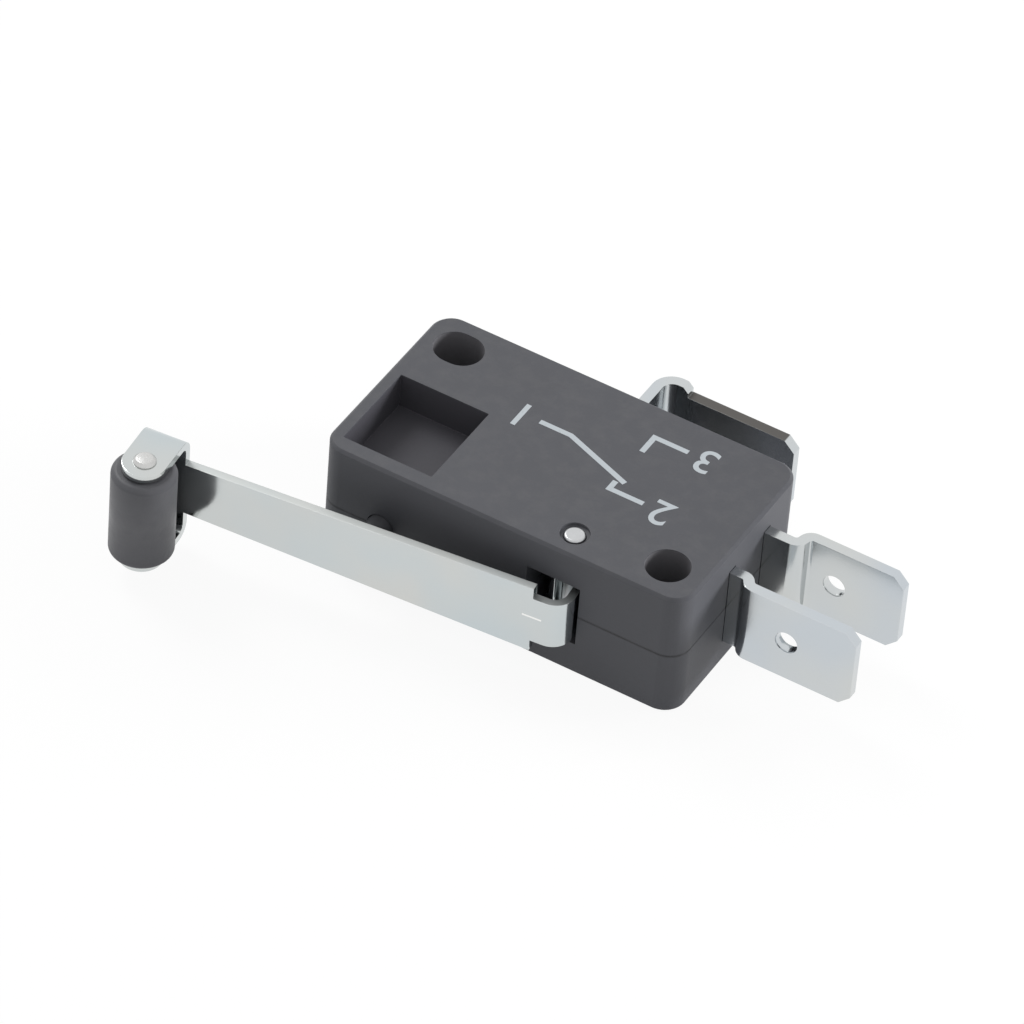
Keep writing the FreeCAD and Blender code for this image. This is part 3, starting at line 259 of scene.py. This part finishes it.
def moulded_plastic(name, grey, wear_and_highlight, roughness, grain, depth, case=False, track=0):
    """Moulded plastic: clouded colour, lighter edges (rubbed, and a painted highlight), a little dust and a
    pitted skin.

    The case has grime in its seam, and painted light in the pocket and on the bores' walls, which get
    lighter tones than the rest; a wheel has a track, given by its half width, where it is polished.
    """
    material, tree, surface = new_material(name, IOR=1.42)
    skin = placed(material, moulded_grain, Grain=grain)
    rubbed_and_highlit = placed(material, edge_wear_and_highlight)["Mask"]
    dust = placed(material, settled_dust)["Mask"]
    cloudy = mixed(tree, skin["Clouds"], grey, toned(grey, CLOUD_TONE))
    # Lighter edges, partly rubbed and partly a painted highlight.
    edged = mixed(tree, math_node(tree, "MULTIPLY", rubbed_and_highlit, WEAR_AND_HIGHLIGHT_SHARE), cloudy, wear_and_highlight)
    shown = mixed(tree, math_node(tree, "MULTIPLY", dust, DUST_SHARE), edged, CASE_DUST)
    if case:
        grime = placed(material, level_band, Level=SEAM_LEVEL)["Mask"]
        shown = mixed(tree, math_node(tree, "MULTIPLY", grime, GRIME_SHARE), shown, CASE_GRIME)
        # Painted light in the pocket and on the bores' walls, lighter than the case around them.
        pocket_light = box_mask(material, POCKET_CENTRE, POCKET_HALF, COVER_TOP - POCKET_RIM, SEAM_LEVEL)["Mask"]
        shown = mixed(tree, math_node(tree, "MULTIPLY", pocket_light, PAINTED_POCKET_SHARE), shown, PAINTED_POCKET_LIGHT)
        for hole in (ROUND_HOLE, OVAL_HOLE):
            bore_light = box_mask(material, hole, HOLE_HALF, COVER_TOP - BORE_RIM)["Walls"]
            shown = mixed(tree, math_node(tree, "MULTIPLY", bore_light, PAINTED_BORE_SHARE), shown, PAINTED_BORE_LIGHT)
    gloss = math_node(tree, "MULTIPLY_ADD", skin["Clouds"], 0.18, roughness - 0.09)
    if track:
        band = placed(material, level_band, Level=SEAM_LEVEL, Width=track)["Mask"]
        shown = mixed(tree, math_node(tree, "MULTIPLY", band, 0.45), shown, wear_and_highlight)
        gloss = math_node(tree, "MULTIPLY_ADD", band, -0.14, gloss)
    tree.links.new(shown, surface.inputs["Base Color"])
    gloss = math_node(tree, "MULTIPLY_ADD", rubbed_and_highlit, -0.06, gloss, clamp=True)
    tree.links.new(gloss, surface.inputs["Roughness"])
    bumped(tree, surface, skin["Pits"], depth)
    return material


def smoothing_tree():
    """Geometry nodes that shade smooth over gentle edges and keep steep ones sharp."""
    tree = bpy.data.node_groups.new("shade_by_angle", "GeometryNodeTree")
    tree.interface.new_socket("Geometry", in_out="INPUT", socket_type="NodeSocketGeometry")
    tree.interface.new_socket("Geometry", in_out="OUTPUT", socket_type="NodeSocketGeometry")
    given = tree.nodes.new("NodeGroupInput")
    put = tree.nodes.new("NodeGroupOutput")
    angle = tree.nodes.new("GeometryNodeInputMeshEdgeAngle")
    steep = tree.nodes.new("FunctionNodeCompare")
    steep.operation = "GREATER_THAN"
    steep.inputs[1].default_value = SMOOTH_ANGLE
    normals = tree.nodes.new("GeometryNodeSetMeshNormal")
    normals.mode = "SHARPNESS"
    normals.inputs["Remove Custom"].default_value = True
    tree.links.new(angle.outputs["Unsigned Angle"], steep.inputs[0])
    tree.links.new(steep.outputs[0], normals.inputs["Edge Sharpness"])
    tree.links.new(given.outputs[0], normals.inputs[0])
    tree.links.new(normals.outputs[0], put.inputs[0])
    return tree


shade_by_angle = smoothing_tree()


def dress(name, material, edge, segments=2):
    """Gives a solid its finish: its triangles become whole faces, and its sharp edges a small round."""
    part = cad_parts[name]
    part.data.materials.clear()
    part.data.materials.append(material)
    weld = part.modifiers.new("weld", "WELD")
    weld.merge_threshold = WELD_REACH
    flat = part.modifiers.new("flats", "DECIMATE")
    flat.decimate_type = "DISSOLVE"
    flat.angle_limit = FLAT_ANGLE
    bevel = part.modifiers.new("edges", "BEVEL")
    bevel.width = edge
    bevel.segments = segments
    bevel.limit_method = "ANGLE"
    bevel.angle_limit = SHARP_ANGLE
    bevel.use_clamp_overlap = True
    smooth = part.modifiers.new("smooth", "NODES")
    smooth.node_group = shade_by_angle
    even = part.modifiers.new("flat_faces", "WEIGHTED_NORMAL")
    even.weight = 100
    even.keep_sharp = True


case_moulding = moulded_plastic(
    "case_moulding", CASE_GREY, CASE_WEAR_AND_HIGHLIGHT, roughness=0.56, grain=5200, depth=0.006 * MM, case=True
)
for name in ("base_shell", "cover_shell"):
    dress(name, case_moulding, CASE_EDGE, segments=3)


# Hinge pin
# A turned steel pin pressed through both halves; its two flat ends show in shallow rings of the case.
# The lever's curl turns on it.
PIN_COLOUR = (0.62, 0.63, 0.64, 1)
STAIN_TONE = 0.72
RING_DEPTH = 0.002 * MM


def make_turned_rings():
    """Concentric lathe or riveting marks round an upright axis."""
    group, given, put = new_group("turned_rings", {"Across": 0, "Along": 0, "Rings": 26000}, ("Height",))
    place = node(group, "ShaderNodeTexCoord").outputs["Object"]
    centre = node(group, "ShaderNodeCombineXYZ", {"X": given["Across"], "Y": given["Along"]}).outputs[0]
    offset = node(group, "ShaderNodeVectorMath", {0: place, 1: centre}, operation="SUBTRACT").outputs[0]
    flat = node(group, "ShaderNodeVectorMath", {0: offset, 1: (1, 1, 0)}, operation="MULTIPLY").outputs[0]
    reach = node(group, "ShaderNodeVectorMath", {0: flat}, operation="LENGTH").outputs["Value"]
    rings = node(
        group, "ShaderNodeTexNoise", {"W": math_node(group, "MULTIPLY", reach, given["Rings"]), "Detail": 2},
        noise_dimensions="1D",
    )
    group.links.new(rings.outputs[0], put["Height"])
    return group


def centre_of(name):
    """The middle of a solid's box, in the part's frame."""
    low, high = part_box(name)
    return (low + high) / 2


turned_rings = make_turned_rings()


def turned_metal(name, colour, roughness, centre, rings=26000):
    """Turned or spun metal with fine rings round an axis and small stains."""
    material, tree, surface = new_material(name, Metallic=1.0)
    marks = placed(material, turned_rings, Across=centre.x, Along=centre.y, Rings=rings)["Height"]
    skin = placed(material, moulded_grain, Grain=9000, Cloud=1500)
    stained = mixed(tree, skin["Clouds"], colour, toned(colour, STAIN_TONE))
    tree.links.new(stained, surface.inputs["Base Color"])
    gloss = math_node(tree, "MULTIPLY_ADD", skin["Clouds"], 0.25, roughness - 0.12, clamp=True)
    tree.links.new(gloss, surface.inputs["Roughness"])
    bumped(tree, surface, marks, RING_DEPTH)
    return material


pin_steel = turned_metal("pin_steel", PIN_COLOUR, roughness=0.3, centre=centre_of("hinge_pin"))
dress("hinge_pin", pin_steel, edge=0.04 * MM)


# Lever
# One strip of zinc-plated spring steel, stamped, folded into a fork at one end and curled round the
# pin at the other. The plating is bright, with faint bluish and yellowish tints and rolling streaks.
PLATED = (0.59, 0.625, 0.63, 1)
PLATED_WARM = (0.64, 0.62, 0.58, 1)
PLATED_COOL = (0.52, 0.59, 0.62, 1)
PLATED_BARE = (0.78, 0.78, 0.76, 1)
SHEARED = (0.36, 0.37, 0.36, 1)
# A bright patch painted on the lever near the knuckle as a highlight.
PAINTED_HIGHLIGHT_COLOUR = (0.9, 0.9, 0.88, 1)
PAINTED_HIGHLIGHT_SHARE = 0.9
STREAK_DEPTH = 0.0004 * MM


def make_rolled_streaks():
    """Rolling and brushing streaks along one heading of a flat strip."""
    group, given, put = new_group(
        "rolled_streaks", {"Heading": 0, "Along": 120, "Across": 9000}, ("Streaks", "Tint")
    )
    place = node(group, "ShaderNodeTexCoord").outputs["Object"]
    turned = node(
        group, "ShaderNodeVectorRotate", {"Vector": place, "Angle": given["Heading"]}, rotation_type="Z_AXIS"
    ).outputs[0]
    scale = node(
        group, "ShaderNodeCombineXYZ", {"X": given["Along"], "Y": given["Across"], "Z": given["Across"]}
    ).outputs[0]
    drawn = node(group, "ShaderNodeVectorMath", {0: turned, 1: scale}, operation="MULTIPLY").outputs[0]
    streaks = node(group, "ShaderNodeTexNoise", {"Vector": drawn, "Scale": 1, "Detail": 3})
    tint = node(group, "ShaderNodeTexNoise", {"Vector": place, "Scale": given["Along"], "Detail": 2})
    group.links.new(streaks.outputs[0], put["Streaks"])
    group.links.new(tint.outputs[0], put["Tint"])
    return group


def make_cut_edge():
    """Mask of the sheared long edges of a strip that stands on edge, up to a reach from a level."""
    group, given, put = new_group("cut_edge", {"Level": 0, "Reach": 0.01}, ("Mask",))
    place = node(group, "ShaderNodeTexCoord").outputs["Object"]
    level = node(group, "ShaderNodeSeparateXYZ", {0: place}).outputs["Z"]
    normal = node(group, "ShaderNodeNewGeometry").outputs["Normal"]
    upright = math_node(group, "ABSOLUTE", node(group, "ShaderNodeSeparateXYZ", {0: normal}).outputs["Z"])
    facing = math_node(group, "MULTIPLY_ADD", upright, 5.0, -4.0, clamp=True)
    away = math_node(group, "ABSOLUTE", math_node(group, "SUBTRACT", level, given["Level"]))
    within = math_node(group, "LESS_THAN", away, given["Reach"])
    group.links.new(math_node(group, "MULTIPLY", facing, within), put["Mask"])
    return group


rolled_streaks = make_rolled_streaks()
cut_edge = make_cut_edge()


def plated_strip(
    name, colour, warm, cool, roughness, heading, cut_reach, cut=SHEARED, cut_share=0.6, painted_highlight=None
):
    """Plated sheet metal: drifting tints, rolling streaks, bare rubbed corners and dull cut edges.

    The edges count as cut up to cut_reach from the seam's level; the last argument is the place, half sizes,
    top and bottom of a bright painted highlight.
    """
    material, tree, surface = new_material(name, Metallic=1.0)
    sheared = placed(material, cut_edge, Level=SEAM_LEVEL, Reach=cut_reach)["Mask"]
    rolled = placed(material, rolled_streaks, Heading=heading)
    skin = placed(material, moulded_grain, Grain=3000, Cloud=500)
    rubbed_and_highlit = placed(material, edge_wear_and_highlight, Radius=0.1 * MM)["Mask"]
    drift = math_node(tree, "MULTIPLY_ADD", rolled["Tint"], 3.0, -1.0, clamp=True)
    tinted = mixed(tree, drift, cool, warm)
    soft = mixed(tree, 0.5, colour, tinted)
    edged = mixed(tree, math_node(tree, "MULTIPLY", rubbed_and_highlit, WEAR_AND_HIGHLIGHT_SHARE), soft, PLATED_BARE)
    edged = mixed(tree, math_node(tree, "MULTIPLY", sheared, cut_share), edged, cut)
    # Painted highlight: a bright patch inside a small box.
    if painted_highlight is not None:
        highlight_mask = box_mask(material, *painted_highlight)["Mask"]
        edged = mixed(tree, math_node(tree, "MULTIPLY", highlight_mask, PAINTED_HIGHLIGHT_SHARE), edged, PAINTED_HIGHLIGHT_COLOUR)
    tree.links.new(edged, surface.inputs["Base Color"])
    gloss = math_node(tree, "MULTIPLY_ADD", rolled["Streaks"], 0.06, roughness - 0.06)
    gloss = math_node(tree, "MULTIPLY_ADD", skin["Clouds"], 0.06, gloss)
    gloss = math_node(tree, "MULTIPLY_ADD", sheared, 0.3, gloss, clamp=True)
    tree.links.new(gloss, surface.inputs["Roughness"])
    bumped(tree, surface, rolled["Streaks"], STREAK_DEPTH)
    return material


LEVER_TURN = math.radians(5.2)
STRIP_EDGE_REACH = 3.0 * MM
# The painted highlight near the knuckle, a small bright patch between two levels.
PAINTED_HIGHLIGHT_PLACE = ((-7.25, -5.0), (0.7, 0.6), SEAM_LEVEL + 0.32 * MM, SEAM_LEVEL + 0.17 * MM)
lever_steel = plated_strip(
    "lever_steel", PLATED, PLATED_WARM, PLATED_COOL,
    roughness=0.13, heading=-LEVER_TURN, cut_reach=STRIP_EDGE_REACH, painted_highlight=PAINTED_HIGHLIGHT_PLACE,
)
dress("lever", lever_steel, edge=0.035 * MM)


# Roller
# A moulded black nylon wheel, as long as the fork is high, that turns freely on the axle.
# Its barrel is polished in a band where the cam runs.
ROLLER_BLACK = (0.080, 0.081, 0.089, 1)
ROLLER_WEAR_AND_HIGHLIGHT = (0.14, 0.14, 0.15, 1)
ROLLER_TRACK = 3.2 * MM
roller_moulding = moulded_plastic(
    "roller_moulding", ROLLER_BLACK, ROLLER_WEAR_AND_HIGHLIGHT, roughness=0.5, grain=3800, depth=0.009 * MM,
    track=ROLLER_TRACK,
)
dress("roller", roller_moulding, edge=0.13 * MM, segments=4)


# Roller axle
# A soft steel rivet through both ears, on which the roller turns.
# Its heads are spun down into low domes, which leaves fine rings.
AXLE_COLOUR = (0.66, 0.66, 0.65, 1)
axle_steel = turned_metal(
    "axle_steel", AXLE_COLOUR, roughness=0.28, centre=centre_of("roller_axle"), rings=18000
)
dress("roller_axle", axle_steel, edge=0.09 * MM, segments=4)


# Plunger
# A round grey acetal button, moulded, that slides in a bore of the front wall.
# The lever's strip rests on its domed tip.
PLUNGER_GREY = (0.070, 0.071, 0.078, 1)
plunger_moulding = moulded_plastic(
    "plunger_moulding", PLUNGER_GREY, ROLLER_WEAR_AND_HIGHLIGHT, roughness=0.35, grain=7000, depth=0.003 * MM
)
dress("plunger", plunger_moulding, edge=0.04 * MM)


# Snap mechanism
# The stamped rocker on its pin, the copper-alloy blade with its silver rivet, and the wound spring
# between them. They sit inside the closed case.
BLADE_COPPER = (0.66, 0.36, 0.20, 1)
BLADE_COPPER_WARM = (0.72, 0.42, 0.18, 1)
BLADE_COPPER_COOL = (0.58, 0.32, 0.24, 1)
SILVER = (0.78, 0.77, 0.74, 1)
SPRING_GREY = (0.42, 0.42, 0.44, 1)
BLADE_TURN = math.radians(5)
rocker_steel = plated_strip(
    "rocker_steel", PLATED, PLATED_WARM, PLATED_COOL, roughness=0.3, heading=0, cut_reach=STRIP_EDGE_REACH
)
blade_copper = plated_strip(
    "blade_copper", BLADE_COPPER, BLADE_COPPER_WARM, BLADE_COPPER_COOL,
    roughness=0.25, heading=BLADE_TURN, cut_reach=STRIP_EDGE_REACH,
)
contact_silver = turned_metal(
    "contact_silver", SILVER, roughness=0.26, centre=centre_of("moving_contact"), rings=30000
)
spring_steel = plated_strip(
    "spring_steel", SPRING_GREY, PLATED_WARM, PLATED_COOL, roughness=0.3, heading=0, cut_reach=0
)
dress("rocker", rocker_steel, edge=0.04 * MM)
dress("rocker_pin", pin_steel, edge=0.04 * MM)
dress("contact_blade", blade_copper, edge=0.03 * MM)
for name in ("moving_contact", "normally_closed_contact", "normally_open_contact"):
    dress(name, contact_silver, edge=0.03 * MM)
# The spring's wire is round everywhere, so it has no edges to break.
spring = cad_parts["tension_spring"]
spring.data.materials.clear()
spring.data.materials.append(spring_steel)


# Terminals
# Three strips of brass, tin plated and stamped to 6.3 mm tabs with a detent hole. Two leave the case's
# end; the common one leaves the back and is folded along it. The tin is satin, with rolling streaks.
TIN = (0.59, 0.62, 0.63, 1)
TIN_WARM = (0.63, 0.63, 0.60, 1)
TIN_COOL = (0.53, 0.58, 0.64, 1)
BRASS_CUT = (0.085, 0.078, 0.072, 1)
COMMON_EDGE_REACH = 3.4 * MM
terminal_tin = plated_strip(
    "terminal_tin", TIN, TIN_WARM, TIN_COOL, roughness=0.17, heading=0, cut_reach=0
)
common_tin = plated_strip(
    "common_tin", TIN, TIN_WARM, TIN_COOL,
    roughness=0.17, heading=0, cut_reach=COMMON_EDGE_REACH, cut=BRASS_CUT, cut_share=0.95,
)
for name in ("normally_closed_terminal", "normally_open_terminal"):
    dress(name, terminal_tin, edge=0.05 * MM)
dress("common_terminal", common_tin, edge=0.05 * MM)


# Marking on the cover
# A pale grey print on the cover, read from the back: the plain sign of a changeover contact with the
# three terminals' numbers. It stands a few thousandths of a millimetre proud.
PRINT_COLOUR = (0.46, 0.50, 0.53, 1)
PRINT_HEIGHT = 0.012 * MM
NUMERAL_HEIGHT = 2.3
DIGIT_SHARE = 0.7
DIGIT_SWELL = 0.02 * MM
SIGN_CENTRE = (-9.2, 7.2)
SIGN_WIDTH = 0.4


def print_material():
    """Matt ink with small pinholes and thin patches that show the plastic."""
    material, tree, surface = new_material("marking_ink")
    skin = placed(material, moulded_grain, Grain=5200, Cloud=2600)
    thin = math_node(tree, "MULTIPLY_ADD", skin["Clouds"], 5.0, -2.9, clamp=True)
    ink = mixed(tree, math_node(tree, "MULTIPLY", thin, 0.45), PRINT_COLOUR, CASE_WEAR_AND_HIGHLIGHT)
    tree.links.new(ink, surface.inputs["Base Color"])
    tree.links.new(math_node(tree, "MULTIPLY_ADD", thin, 0.2, 0.5), surface.inputs["Roughness"])
    bumped(tree, surface, skin["Pits"], 0.004 * MM)
    return material


marking_ink = print_material()


def added(name, data):
    """A new object in the scene."""
    made = bpy.data.objects.new(name, data)
    bpy.context.scene.collection.objects.link(made)
    return made


def printed(mesh_piece, x, y):
    """Lays a flat mark on the cover, turned to be read from the back, and fixes it there."""
    mesh_piece.data.materials.clear()
    mesh_piece.data.materials.append(marking_ink)
    place = Matrix.Translation((x * MM, y * MM, COVER_TOP))
    mesh_piece.matrix_world = place @ Matrix.Rotation(math.pi, 4, "Z")
    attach(mesh_piece, "case")


def numeral(name, text, x, y):
    """A printed number, made as a thin slab; a digit fills a share of the font's size."""
    letters = bpy.data.curves.new(name, "FONT")
    letters.body = text
    letters.size = NUMERAL_HEIGHT * MM / DIGIT_SHARE
    letters.extrude = PRINT_HEIGHT / 2
    letters.offset = DIGIT_SWELL
    letters.align_x = "CENTER"
    letters.align_y = "CENTER"
    letters.resolution_u = 6
    drawn = added(name, letters)
    bpy.context.view_layer.update()
    flat = bpy.data.meshes.new_from_object(drawn)
    bpy.data.objects.remove(drawn)
    printed(added(name, flat), x, y)


def ribbon(name, points):
    """A printed line of the sign through a few points, mitred at its corners, as one thin slab."""
    line = [Vector(point) for point in points]
    headings = [(last - first).normalized() for first, last in zip(line, line[1:])]
    rims = ([], [])
    for number, point in enumerate(line):
        before = headings[max(number - 1, 0)]
        after = headings[min(number, len(headings) - 1)]
        mean = (before + after).normalized()
        reach = SIGN_WIDTH / 2 / mean.dot(after)
        side = Vector((-mean.y, mean.x)) * reach
        rims[0].append(point + side)
        rims[1].append(point - side)
    mesh = bmesh.new()
    corners = ((rims[0], 0.5), (rims[1], 0.5), (rims[1], -0.5), (rims[0], -0.5))
    rows = [
        [mesh.verts.new((point.x * MM, point.y * MM, level * PRINT_HEIGHT)) for point in rim]
        for rim, level in corners
    ]
    for number in range(len(headings)):
        for row, other in zip(rows, rows[1:] + rows[:1]):
            mesh.faces.new((row[number], other[number], other[number + 1], row[number + 1]))
    mesh.faces.new([row[0] for row in reversed(rows)])
    mesh.faces.new([row[-1] for row in rows])
    data = bpy.data.meshes.new(name)
    mesh.to_mesh(data)
    mesh.free()
    printed(added(name, data), *SIGN_CENTRE)


numeral("number_one", "1", -15.4, 7.2)
numeral("number_two", "2", -2.9, 4.2)
numeral("number_three", "3", -2.9, 10.2)
ribbon("contact_sign_arm", [(4.8, 0.0), (2.4, 0.0), (-2.9, 2.0)])
ribbon("contact_sign_closed", [(-2.3, 2.15), (-2.3, 3.0), (-4.9, 3.0)])
ribbon("contact_sign_open", [(-2.3, -1.3), (-2.3, -3.0), (-4.9, -3.0)])


# Floor and light
# A plain pale floor just under the switch, a white surround that metal mirrors, a large soft lamp
# above the lever's end, and a low one at the terminals' end that leaves no mirror image.
FLOOR_SIZE = 3.0
FLOOR_DROP = 0.01 * MM
FLOOR_PAPER = (0.82, 0.82, 0.82, 1)
FLOOR_SHADOW = (0.08, 0.08, 0.08, 1)
FLOOR_GLOW = 0.92
WHITE = (1, 1, 1, 1)
SURROUND_LIGHT = 0.55
SURROUND_SEEN = 1.0


def floor_material():
    """Paper floor; camera and mirror rays see a glow in its place that keeps a faint shadow."""
    material = bpy.data.materials.new("studio_floor")
    material.use_nodes = True
    tree = material.node_tree
    tree.nodes.clear()
    paper = node(tree, "ShaderNodeBsdfDiffuse", {"Color": FLOOR_PAPER})
    thin_paper = node(tree, "ShaderNodeBsdfDiffuse", {"Color": FLOOR_SHADOW})
    glow = node(tree, "ShaderNodeEmission", {"Color": WHITE, "Strength": FLOOR_GLOW})
    seen = node(tree, "ShaderNodeAddShader", {0: thin_paper.outputs[0], 1: glow.outputs[0]})
    rays = node(tree, "ShaderNodeLightPath").outputs
    direct = math_node(tree, "MAXIMUM", rays["Is Camera Ray"], rays["Is Glossy Ray"])
    direct = math_node(tree, "MAXIMUM", direct, rays["Is Transmission Ray"])
    blend = node(tree, "ShaderNodeMixShader", {0: direct, 1: paper.outputs[0], 2: seen.outputs[0]})
    output = tree.nodes.new("ShaderNodeOutputMaterial")
    tree.links.new(blend.outputs[0], output.inputs["Surface"])
    return material


floor_mesh = bpy.data.meshes.new("floor")
half_floor = FLOOR_SIZE / 2
floor_mesh.from_pydata(
    [(x * half_floor, y * half_floor, 0) for x, y in ((-1, -1), (1, -1), (1, 1), (-1, 1))],
    [],
    [(0, 1, 2, 3)],
)
floor = added("floor", floor_mesh)
floor.data.materials.append(floor_material())
floor.location.z = cad_bounds[0][2] - FLOOR_DROP

world = bpy.data.worlds.new("surround")
world.use_nodes = True
sky = world.node_tree
sky.nodes.clear()
sky_rays = node(sky, "ShaderNodeLightPath").outputs
mirrored = math_node(sky, "MAXIMUM", sky_rays["Is Camera Ray"], sky_rays["Is Glossy Ray"])
mirrored = math_node(sky, "MAXIMUM", mirrored, sky_rays["Is Transmission Ray"])
brightness = math_node(sky, "MULTIPLY_ADD", mirrored, SURROUND_SEEN - SURROUND_LIGHT, SURROUND_LIGHT)
background = node(sky, "ShaderNodeBackground", {"Color": WHITE, "Strength": brightness})
sky_output = sky.nodes.new("ShaderNodeOutputWorld")
sky.links.new(background.outputs[0], sky_output.inputs["Surface"])
bpy.context.scene.world = world


def soft_lamp(name, place, target, size, power, mirrored=True):
    """A square soft box aimed at a point, with or without its mirror image in metal."""
    light = bpy.data.lights.new(name, "AREA")
    light.size = size
    light.energy = power
    lamp = added(name, light)
    lamp.visible_glossy = mirrored
    heading = Vector(target) - Vector(place)
    lamp.matrix_world = Matrix.Translation(place) @ heading.to_track_quat("-Z", "Y").to_matrix().to_4x4()


soft_lamp("key_lamp", place=(-0.47, 0.17, 0.46), target=(-0.01, 0.0, 0.0), size=0.28, power=2.0)
soft_lamp(
    "end_lamp", place=(0.48, 0.36, 0.13), target=(0.0, 0.005, 0.005), size=0.20, power=4.4, mirrored=False
)


# Camera
# Stands where the photograph was taken from: a long lens, well above and to the right of the lever.
# Its place, turn and roll were fitted to the case's corners and holes.
AIM = Vector((-13.58, 3.45, 5.15)) * MM
DISTANCE = 533.9 * MM
AZIMUTH = math.radians(27.39)
ELEVATION = math.radians(43.30)
ROLL = math.radians(4.85)
FOCAL_PIXELS = 8000
IMAGE_PIXELS = 1024
SENSOR = 36.0

lens = bpy.data.cameras.new("camera")
lens.sensor_width = SENSOR
lens.lens = SENSOR * FOCAL_PIXELS / IMAGE_PIXELS
lens.clip_start = 0.01
lens.clip_end = 20
camera = added("camera", lens)
turn = (
    Matrix.Rotation(AZIMUTH, 4, "Z")
    @ Matrix.Rotation(math.pi / 2 - ELEVATION, 4, "X")
    @ Matrix.Rotation(ROLL, 4, "Z")
)
backward = turn.to_3x3() @ Vector((0, 0, 1))
camera.matrix_world = Matrix.Translation(AIM + backward * DISTANCE) @ turn
bpy.context.scene.camera = camera
bpy.context.scene.view_settings.view_transform = "Standard"
